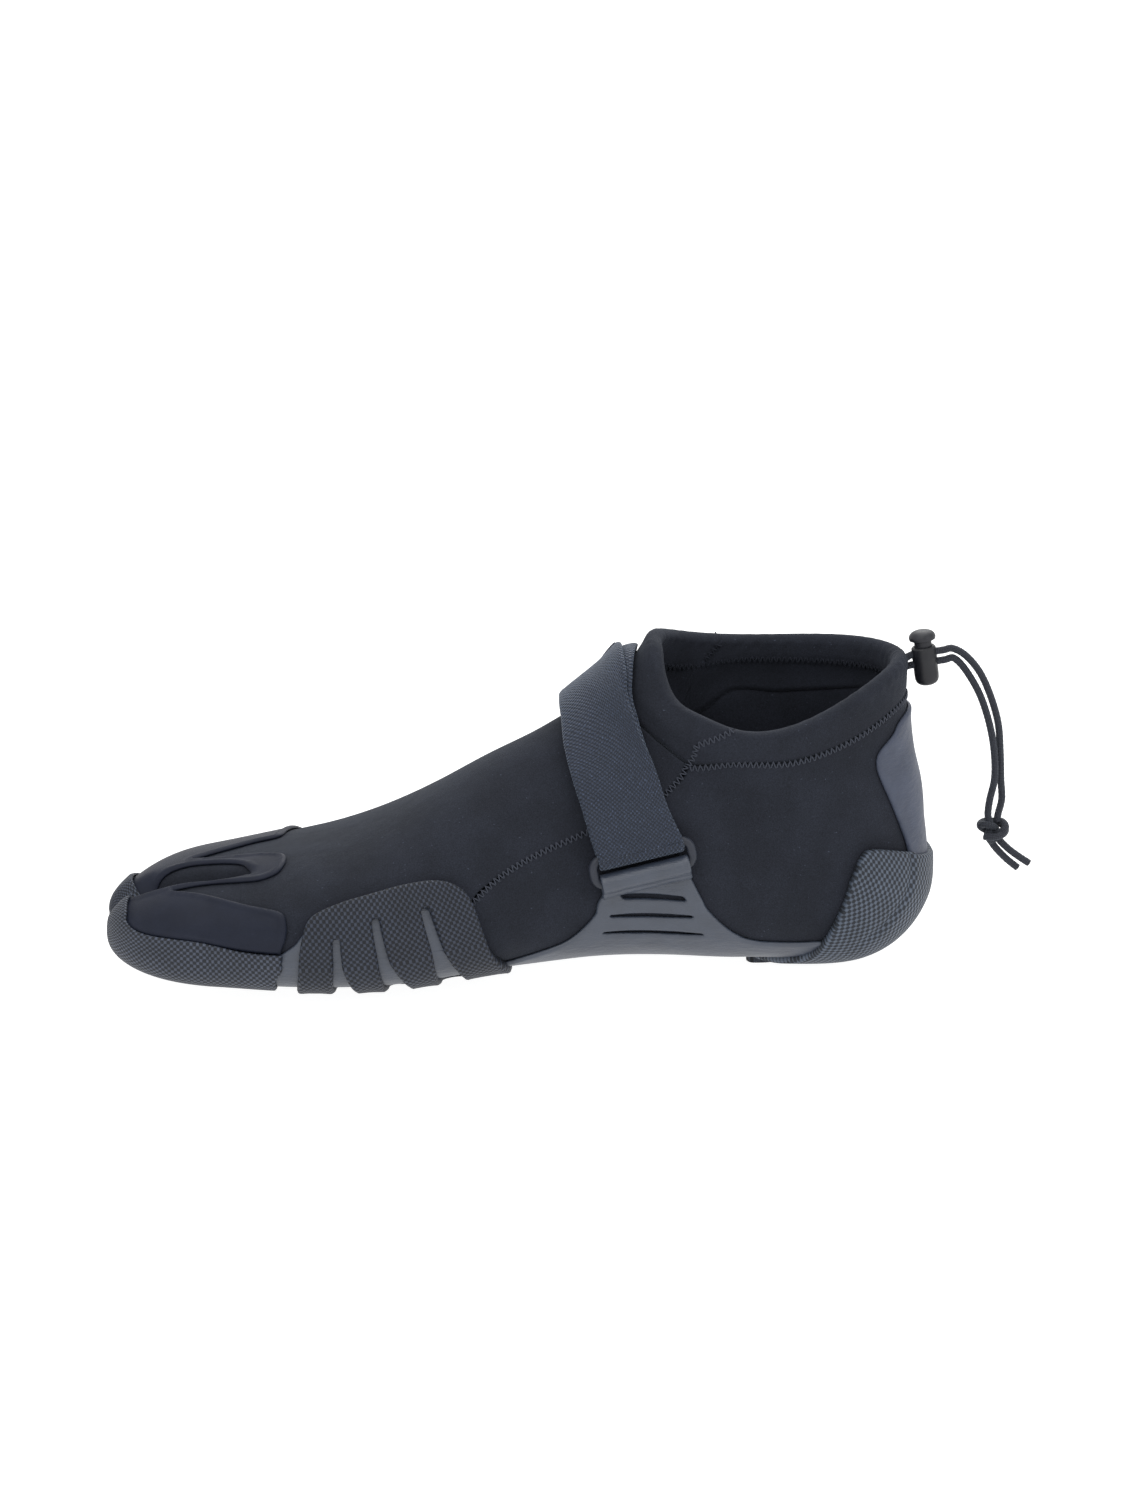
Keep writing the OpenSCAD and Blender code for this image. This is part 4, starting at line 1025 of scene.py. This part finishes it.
def build_seams():
    lines = [[[8.1, 72.5], [7.62, 65.1], [6.62, 61.05], [5.6, 57.05], [4.5, 53.6], [3.55, 53.5]],
             [[3.5, 54.3], [1.8, 61.2], [0.5, 66.6], [0.12, 68]],
             [[3.55, 54.8], [2.2, 76.8], [1.9, 100], [1.6, 124], [1.31, 150], [1.22, 178]]]
    parts, inside_parts = [], []
    for line in lines:
        for s in (1, -1):
            uv = curve(line, fine=30)
            u, v = uv[:, 0], s * uv[:, 1]
            parts.append(zigzag(skin(u, v, np.full(len(u), -0.25)), outward(u, v), lift=0.42))
            if line[0][0] > 4:
                inside_parts.append(zigzag(skin(u, v, np.full(len(u), -FOAM)), -outward(u, v)))
    leg = [3.36, 3.38, 3.46, 2.16, 1.86, 1.56, 1.28, 1.18]
    for s in (1, -1):
        for line in ([[1.9, 20], [1.85, 50], [1.3, 77], [1.12, 100], [1, 124], [0.92, 150],
                      [0.88, 176]], [[0.45, 67], [0.9, 65.5], [1.4, 63.5]]):
            uv = curve(line, fine=30)
            u, v = uv[:, 0], s * uv[:, 1]
            low = np.interp(uv[:, 1], [0, 34, 54, 77, 100, 124, 150, 180], leg) + 0.16
            h = lining((u - FOLD) / (low - FOLD)) - 0.1
            inside_parts.append(zigzag(bare(u, v) + outward(u, v) * h[:, None], -outward(u, v)))
    for name, group, finish in (("seam_stitching", parts, THREAD),
                                ("seam_stitching_inside", inside_parts, NEOPRENE)):
        points, faces = gather(group)
        claim(mesh(name, points, faces, None, finish), "thread", "seam_stitching")


# ---- Rubber ----------------------------------------------------------------
# Heights over the neoprene; the outsole and the heel cup go down to SOLE_LOW at their edges
SMOOTH_LOW, SMOOTH_TOP, GRIP_LOW, GRIP_TOP, SOLE_LOW, UNDER = 0.35, 1.6, 1.85, 3.7, 0.3, 0.02


def skin_top(thick, low, radius=1.0, edge=0.4, bead=0.0, swell=0.0):
    """The top of a moulded sheet: rounded edge, and a low bead or hollow just inside it."""
    def top(d, u, v):
        h = low + round_edge(d, thick - low, radius, edge)
        h = h + bead * np.exp(-((d - 1.3) / 0.75) ** 2)
        return h + swell * np.sin(u * 9 + np.radians(v) * 11) * smooth(d / 4)
    return top


def build_rubber():
    # Round the toe
    upper = [[10.10, 82], [10.58, 81], [11.06, 75.5], [11.40, 71], [11.53, 60], [11.54, 45],
             [11.53, 26], [11.52, 16], [11.5, 4], [11.51, -16], [11.54, -30], [11.54, -45],
             [11.53, -60], [11.40, -71], [11.06, -75.5], [10.58, -81], [10.10, -82]]
    edge = outline(Toe, [upper, [[10.1, 278], [10.12, 264], [10.2, 250], [10.22, 230], [10.2, 205],
                                 [10.2, 180], [10.2, 155], [10.22, 130], [10.2, 110], [10.12, 96],
                                 [10.1, 82]]], 0.9)
    panel("toe_rand", Toe, edge, GRIP_LOW, skin_top(3.1, GRIP_LOW, 1.1, 0.45), TOE_GRIP,
          "textured_rubber")
    # Over the toes: wings, the finger along the split, and its window
    edge = outline(Toe, [
        [[10.12, 82.5], [10.05, 72], [10.03, 63], [10.1, 55.5], [10.5, 49.5], [11.0, 40],
         [11.23, 31.5]],
        [[11.23, 31.5], [10.98, 30.3], [10.6, 32], [10.33, 32], [10.13, 28], [10.05, 20],
         [10.08, 12], [10.33, 6], [10.68, 2.5], [11.1, -4.5]],
        [[11.1, -4.5], [10.8, -9], [10.45, -13], [10.12, -16], [10.08, -34], [10.05, -52],
         [10.03, -66], [10.05, -75], [10.12, -82.5]],
        [[10.12, -82.5], [10.6, -81.5], [11.1, -77], [11.44, -72], [11.57, -60], [11.58, -45],
         [11.6, -28], [11.6, -14], [11.59, 4], [11.6, 16], [11.6, 28], [11.58, 45], [11.57, 60],
         [11.44, 72], [11.1, 77], [10.6, 81.5], [10.12, 82.5]]], 0.7)
    window = loop(Toe, [[11.53, 20], [11.5, 11], [11.33, 1.5], [11.12, 3], [10.86, 8.5],
                        [10.6, 14.5], [10.49, 22], [10.6, 27], [10.88, 27.4], [11.14, 26.6],
                        [11.42, 26]], 0.6)
    panel("toe_overlay", Toe, edge, SMOOTH_LOW, skin_top(1.2, SMOOTH_LOW, 0.8, 0.6, bead=0.5),
          OVERLAY, "smooth_rubber", holes=[window], space=1.3)
    # Under the forefoot, and up both sides behind the slots
    half = [[8.3, 121], [8.22, 108], [8.22, 93], [8.7, 88.5], [9.4, 87.5], [10, 86.5], [10.5, 85.4],
            [10.9, 83.4], [11.2, 80.5], [11.45, 77], [11.65, 70], [11.8, 48], [11.8, 0]]
    rear = [[8.3, 239], [8.32, 224], [8.42, 210], [8.46, 180], [8.42, 150], [8.32, 136],
            [8.3, 121]]
    edge = outline(Toe, [half, over_top(half), rear], 1.4)
    def flush(d, u, v):
        side_v = np.where(v < 0, -v, np.where(v > 180, 360 - v, v))
        h = skin_top(SMOOTH_TOP, SMOOTH_LOW)(d, u, v)
        return np.where((abs(side_v - 89) < 4) & (u > 8.4) & (u < 10.1), SMOOTH_TOP, h)
    panel("sole_base", Toe, edge, SMOOTH_LOW, flush, SMOOTH, "smooth_rubber", space=2.2, rings=(0.6,))
    flank = [[[8.24, 90], [8.24, 84], [8.34, 74], [8.46, 68], [8.74, 62], [9.2, 60.5], [9.55, 62],
              [9.8, 68], [9.95, 76], [10.15, 84], [10.15, 88.5]],
             [[10.15, 88.5], [9.4, 88.8], [8.7, 89.3], [8.24, 90]]]
    for name, runs in (("flank_base_inner", flank),
                       ("flank_base_outer", [mirror(run) for run in reversed(flank)])):
        panel(name, Strip, outline(Strip, runs, 1.0), SMOOTH_LOW - UNDER,
              lambda d, u, v: flush(d, u, v) - UNDER, SMOOTH, "smooth_rubber", "flank_base",
              space=1.8, rings=(0.5,))
    side = [[10.0, 145], [10.0, 132], [9.95, 105], [9.91, 85], [9.84, 70], [9.72, 60.5], [9.40, 56],
            [9.05, 54.6], [8.72, 54.5], [8.4, 57], [8.2, 62], [8.1, 70], [8.1, 84], [8.1, 101],
            [8.07, 114], [8.0, 131], [7.98, 150], [7.98, 180]]
    edge = outline(Strip, [side + mirror(side)[1:], [[10.0, 215], [10.02, 180], [10.0, 145]]], 0.8)
    holes = slits([
        ([[9.47, 75], [9.49, 90], [9.5, 110], [9.49, 130], [9.48, 146]], (2.2, 2.7, 4.2, 6.2, 5)),
        ([[9.03, 68], [9.02, 88], [9.0, 110], [8.97, 130], [8.95, 146]], (2.2, 2.7, 4.2, 6.0, 5)),
        ([[8.54, 69], [8.53, 88], [8.52, 110], [8.5, 130], [8.48, 146]], (2.2, 2.7, 4.0, 5.6, 5))])
    panel("forefoot_outsole", Strip, edge, SOLE_LOW, skin_top(GRIP_TOP, GRIP_LOW, 1.1, 0.4, bead=0.2),
          SOLE_GRIP, "textured_rubber", holes=holes)
    # Under the arch and up to the strap
    left = [[6.68, 79], [6.72, 82], [6.9, 87], [7.06, 96], [7.3, 108], [7.5, 115], [7.92, 124.5],
            [8.25, 136], [8.38, 150], [8.42, 180]]
    right = [[4.84, 180], [4.88, 150], [5.0, 134], [5.14, 125.5], [5.4, 123.8], [5.72, 122.5],
             [5.83, 116], [5.86, 104], [5.83, 92], [5.7, 82], [5.62, 77.5]]
    front = [[5.62, 77.5], [6.1, 77.5], [6.68, 79]]
    edge = outline(Strip, [left + mirror(left)[1:], mirror(front[::-1]), mirror(right) + right[1:],
                           front], 0.8)
    holes = slits([([[6.58, 85], [6.28, 86.4], [6.0, 88.4]], (1.2, 1.3, 1.3, 1.3, 1.2)),
                   ([[6.83, 94.8], [6.45, 97.2], [6.09, 100.6]], (1.2, 2.0, 2.0, 2.0, 1.2)),
                   ([[7.0, 109], [6.56, 111.5], [6.15, 115]], (1.2, 2.0, 2.0, 2.0, 1.2))])
    panel("arch_wrap", Strip, edge, SMOOTH_LOW,
          skin_top(SMOOTH_TOP, SMOOTH_LOW, 0.9, 0.45, bead=0.14, swell=0.05), SMOOTH, "smooth_rubber",
          holes=holes)
    # Round the heel
    cup = [[6, 180], [5.95, 165], [5.72, 147], [5.37, 133], [5.12, 124], [4.75, 115.5], [4.33, 110.6],
           [3.98, 109.6], [3.63, 113.5], [3.48, 121], [3.45, 141], [3.48, 150], [3.5, 180]]
    edge = outline(Strip, [cup, mirror(cup)], 0.8)
    def cup_top(d, u, v):
        h = skin_top(GRIP_TOP, GRIP_LOW, 1.2, 0.4)(d, u, v)
        side_v = np.where(v > 180, 360 - v, v)
        welt = np.interp(u, [3.4, 3.8, 4.3, 4.8, 5.4], [141, 139, 134, 131, 136])
        groove = 0.75 * np.exp(-((side_v - welt) * 0.62) ** 2) * smooth((5.2 - u) / 0.8)
        ridge = 0.25 * np.exp(-((side_v - welt - 3.4) * 0.62 / 1.2) ** 2) * smooth((5.0 - u) / 0.8)
        return h - groove + ridge
    panel("heel_cup", Strip, edge, SOLE_LOW, cup_top, HEEL_GRIP, "textured_rubber", space=1.4)
    tab = [[3.68, 180], [3.66, 160], [3.6, 146], [3.3, 142], [2.9, 136.5], [2.5, 134], [2.23, 134],
           [2.0, 137.5], [1.78, 148], [1.6, 154], [1.5, 166], [1.47, 180]]
    edge = outline(Strip, [tab, mirror(tab)], 0.8)
    panel("heel_tab", Strip, edge, SMOOTH_LOW,
          skin_top(SMOOTH_TOP, SMOOTH_LOW, 1.0, 0.4, bead=0.12, swell=0.08), HEEL_TAB, "smooth_rubber")


def build_tread():
    """Pads across the sole, each cut into n lugs by sipes: x, y, length and width of each."""
    corners = ((1, 0, 0, 0), (1, 1, 1.2, 0.5), (0, 1, 0, 0), (-1, 1, 1.2, 0.5), (-1, 0, 0, 0),
               (-1, -1, 1.2, 0.5), (0, -1, 0, 0), (1, -1, 1.2, 0.5))
    for name, n, pads in (("forefoot_tread", 5, [[68, 3, 11, 46], [84, 3, 12, 50], [100, 3, 11, 46]]),
                          ("heel_tread", 3, [[222, 3, 10, 22], [236, 3, 11, 24], [250, 2, 10, 20]])):
        parts = []
        for x, y, length, width in pads:
            for k in range(n):
                w = width / n - 1.6
                cy = y + (k - (n - 1) / 2) * width / n
                base = loop(Flat, [[x + sx * (length / 2 - e), cy + sy * (w / 2 - f)]
                                   for sx, sy, e, f in corners], 1.0)
                c = base.mean(0)
                levels = ((0.0, 0.93), (0.25, 1.0), (2.6, 1.04))
                pts = np.array([[*(c + (p - c) * s), z] for z, s in levels for p in base])
                parts.append((pts + [SHIFT[0], SHIFT[1], 0], stacked(len(levels), len(base))))
        points, faces = gather(parts)
        uv = [(points[i][0], points[i][1]) for f in faces for i in f]
        claim(crease(mesh(name, points, faces, uv, SOLE_GRIP), 40), "textured_rubber", name)


# ---- Strap and ring --------------------------------------------------------
def strap_sheet(name, i, base, thick, lead, body, *nodes, t0=0.0, t1=1.0, material=WEBBING,
                kind="strap_webbing", ends=(False, False), flare=0.0):
    """A length of webbing with rounded edges; base and lead are heights under it.

    t0 and t1 are its shares of the strap's width. ends says which of its two ends are rounded.
    """
    def rounded(far):
        return 0.5 * thick * (1 - np.sqrt(1 - (1 - np.clip(far, 0, 1)) ** 2)) * 0.85
    t = np.concatenate([[0, 0.006, 0.016, 0.032], np.linspace(0.06, 0.94, 19),
                        [0.968, 0.984, 0.994, 1]])
    t = t0 + (t1 - t0) * t
    edge = rounded(np.minimum(t - t0, t1 - t) * WEB_W)
    tip = rounded(np.minimum(i - i[0], i[-1] - i) * STEP_MM)
    first = i - i[0] < i[-1] - i
    tip = np.where(np.where(first, ends[0], ends[1]), tip, 0)
    cut = np.maximum(edge[None, :], tip[:, None])
    ii, tt = np.meshgrid(i, t, indexing="ij")
    tt = tt * (1 + flare * np.exp(-((ii - 17) / 4.5) ** 2))
    base = base - 18 * np.maximum(tt - 1, 0)
    ripple = 0.1 * np.sin(ii * 1.3 + tt * 5) * np.sin(tt * 9)
    top = strap_point(ii, tt, base + thick - cut + ripple, lead + thick - cut + ripple)
    low = strap_point(ii, tt, base + cut + ripple * 0.5, lead + cut + ripple * 0.5)
    along = length_along(top[:, len(t) // 2])
    wide = np.linalg.norm(top[:, -1] - top[:, 0], axis=1)
    uv = np.stack([np.repeat(along[:, None], len(t), 1), (tt - 0.5) * wide[:, None]], -1)
    return sheet(name, top, low, material, kind, *nodes, body=body, uv=uv)


def ring_frame_heights():
    """Height of the boot's outer face under the ring, for points given in the ring's frame."""
    u, v = np.meshgrid(np.linspace(4.4, 7.6, 90), np.linspace(50, 118, 90))
    local = (bare(u, v) - RING_C).reshape(-1, 3) @ np.stack([RING_X, RING_Y, RING_Z], 1)
    tree = kdtree.KDTree(len(local))
    for k, p in enumerate(local):
        tree.insert((p[0], p[1], 0), k)
    tree.balance()
    def height(x, y):
        found = tree.find_n((x, y, 0), 6)
        w = np.array([1 / (f[2] ** 2 + 0.01) for f in found])
        return float((w * [local[f[1]][2] for f in found]).sum() / w.sum())
    return height


def build_ring():
    half_x, half_y, r = (RING_W + 2 * BAR_R) / 2, BAR_PITCH / 2, 3.4
    path = []
    for sx, sy, a0 in ((1, 1, 0), (-1, 1, 90), (-1, -1, 180), (1, -1, 270)):
        for a in np.linspace(a0, a0 + 90, 9):
            path.append([sx * (half_x - r) + r * math.cos(math.radians(a)),
                         sy * (half_y - r) + r * math.sin(math.radians(a))])
    path = np.array(path)
    path = spaced(np.concatenate([path, path[:1]]), 0.7)[:-1]
    n, sides = len(path), 20
    t = np.roll(path, -1, 0) - np.roll(path, 1, 0)
    t /= np.linalg.norm(t, axis=1, keepdims=True)
    out = np.stack([t[:, 1], -t[:, 0]], 1)
    pts = []
    for p, o in zip(path, out):
        for a in np.arange(sides) * 2 * np.pi / sides:
            c, s = math.cos(a), math.sin(a)
            q = (abs(c) ** 2.4 + abs(s) ** 2.4) ** (-1 / 2.4)
            w = p + o * (BAR_R * q * c * 0.98)
            pts.append(on_ring(w[0], w[1], BAR_H + BAR_R * q * s * 0.98))
    faces = [(i * sides + j, ((i + 1) % n) * sides + j, ((i + 1) % n) * sides + (j + 1) % sides,
              i * sides + (j + 1) % sides) for i in range(n) for j in range(sides)]
    piece = mesh("ring", pts, faces, None, RING_PLASTIC, "ring")
    piece.data.flip_normals()
    claim(piece, "ring_plastic", "ring")
    # Rubber tab: down from the front of the arch wrap, round the lower bar and back under itself
    ground = ring_frame_heights()
    thick, by = 1.9, -BAR_PITCH / 2
    turn = BAR_R + 0.12 + thick / 2
    line = []
    for y, h, w in ((-8.7, 1.8, 15.6), (-8.75, 2.6, 15.6), (-8.5, 3.5, 15.5), (-7.9, 4.3, 15.4),
                    (-7, 5.1, 15.3)):
        line.append((y, h, w, 1.0))
    for a in range(118, -121, -17):
        line.append((by + turn * math.cos(math.radians(a)), BAR_H + turn * math.sin(math.radians(a)),
                     15.2, 0.0))
    for y, h, w in ((-6.6, 2.6, 15.2), (-7.8, 2.2, 15.2)):
        line.append((y, h, w, 1.0))
    line = spline(line, np.linspace(0, len(line) - 1, 90))
    xs = np.concatenate([[-1, -0.985, -0.955], np.linspace(-0.9, 0.9, 23), [0.955, 0.985, 1]])
    mid = np.zeros((len(line), len(xs), 3))
    for i, (y, h, w, g) in enumerate(line):
        for j, x in enumerate(xs):
            base = ground(x * w, y) if g > 0 else 0.0
            mid[i, j] = (x * w, y, base * np.clip(g, 0, 1) + h)
    du = np.gradient(mid, axis=0)
    nrm = np.cross(du, [1.0, 0, 0])
    nrm /= np.maximum(np.linalg.norm(nrm, axis=-1, keepdims=True), 1e-9)
    edge = np.sqrt(1 - (1 - np.clip((1 - np.abs(xs)) * 13 / 0.6, 0, 1)) ** 2) * 0.5 + 0.5
    k = np.arange(len(line))
    edge = edge[None, :] * (0.3 + 0.7 * np.clip(np.minimum(k, len(line) - 1 - k) / 3, 0, 1))[:, None]
    off = nrm * (thick / 2 * edge)[..., None]
    along = length_along(mid[:, 10])
    uv = np.stack([mid[..., 0], np.repeat(along[:, None], len(xs), 1)], -1)
    low, top = (on_ring(*np.moveaxis(g, -1, 0)) for g in (mid - off, mid + off))
    sheet("ring_tab", low, top, SMOOTH, "smooth_rubber", uv=uv)


def build_strap():
    strap_sheet("strap_base", np.linspace(0, STEPS, 150), 0, STRAP_T, LAYER_LOW, "boot", flare=0.11)
    # The quarter turn round the upper bar
    r0, r1, w = BAR_R + 0.15, BAR_R + 0.15 + STRAP_T, RING_W / 2 - 0.7
    a = np.radians(np.linspace(88, 182, 22))
    xs = np.concatenate([[-1, -0.985, -0.955], np.linspace(-0.9, 0.9, 19), [0.955, 0.985, 1]])
    cutx = 0.42 * STRAP_T * (1 - np.sqrt(1 - (1 - np.clip((1 - np.abs(xs)) * w, 0, 1)) ** 2))
    aa, xx = np.meshgrid(a, xs, indexing="ij")
    cc = np.repeat(cutx[None, :], len(a), 0)
    def at(rad):
        return on_ring(xx * w, BAR_PITCH / 2 + rad * np.cos(aa), BAR_H + rad * np.sin(aa))
    uv = np.stack([-aa * 2.7, xx * w], -1)
    sheet("strap_fold", at(r1 - cc), at(r0 + cc), WEBBING, "strap_webbing", body="strap_lower", uv=uv)
    # The tail is one piece that runs over the crest of the instep
    tail = strap_sheet("strap_tail", np.linspace(0, TAIL_END, 110), TAIL_BASE, STRAP_T, LAYER_HIGH,
                       None, "strap_tail_lower", "strap_tail_upper", ends=(False, True))
    a = strap_point(CREST - 1.2, 0.5, TAIL_BASE + 1, LAYER_HIGH) * MM
    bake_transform(tail)
    strap_sheet("pull_tab", np.linspace(TAIL_END - 2, TAIL_END, 24), TAIL_BASE + STRAP_T + 0.02, 0.85,
                9, "strap_upper", t0=0.03, t1=0.97, material=OVERLAY, kind="smooth_rubber",
                ends=(True, True))
    # Rubber patch over the strap's fixed end, with its stitching
    anchor = outline(Strip, [[[6.98, -86], [6.95, -82], [6.8, -76]],
                             [[6.8, -76], [6.2, -74.3], [5.58, -73.5]],
                             [[5.58, -73.5], [5.72, -82], [5.86, -89]],
                             [[5.86, -89], [6.4, -90.5], [7.02, -89.5]],
                             [[7.02, -89.5], [7.0, -88], [6.98, -86]]], 0.9)
    panel("strap_anchor", Strip, anchor, 4.2, skin_top(5.9, 4.2, 1.0, 0.4, bead=0.2), SMOOTH,
          "smooth_rubber", space=1.6)
    parts = []
    for row in (28.6, 29.2):
        for k in range(9):
            t0, t1 = 0.08 + k * 0.095, 0.08 + k * 0.095 + 0.06
            t = np.linspace(t0, t1, 7)
            lift = 0.28 * np.sin(np.linspace(0, np.pi, 7))
            parts.append(tube(strap_point(row, t, STRAP_T + lift, LAYER_LOW), 0.32, 8))
    points, faces = gather(parts)
    claim(mesh("strap_stitching", points, faces, None, PALE_THREAD), "thread", "strap_stitching")


# ---- Studio ----------------------------------------------------------------
def build_studio():
    white = Nodes("studio_white", (0.35, 0.35, 0.35, 1), 0.9)
    white.bsdf.inputs["Emission Color"].default_value = (1, 1, 1, 1)
    white.bsdf.inputs["Emission Strength"].default_value = 0.95
    white.relief(white.noise(white.space(), 0.02, 2), 0.05)
    bpy.ops.mesh.primitive_plane_add(size=8, location=(0, 0, 0))
    floor = bpy.context.object
    floor.name = "floor"
    floor.data.materials.append(white.mat)
    world = bpy.data.worlds.new("studio")
    bpy.context.scene.world = world
    world.use_nodes = True
    world.node_tree.nodes["Background"].inputs[0].default_value = (1, 1, 1, 1)
    world.node_tree.nodes["Background"].inputs[1].default_value = 1.0
    for name, place, size, power in (
            ("key", (-0.5, -0.9, 1.1), 0.8, 5), ("fill", (0.9, -0.8, 0.6), 0.8, 2.5),
            ("top", (0.1, 0.1, 1.3), 1.0, 6), ("back", (0.3, 0.9, 0.9), 0.8, 5)):
        light = bpy.data.objects.new(name, bpy.data.lights.new(name, "AREA"))
        light.data.size, light.data.energy = size, power
        light.location = place
        light.rotation_euler = (Vector((0, 0, 0.05)) - Vector(place)).to_track_quat("-Z", "Y").to_euler()
        bpy.context.scene.collection.objects.link(light)
    bpy.context.scene.view_settings.view_transform = "Standard"


build_cords()
build_lock()
build_upper()
build_cuff()
build_seams()
build_rubber()
build_tread()
build_ring()
build_strap()
build_studio()
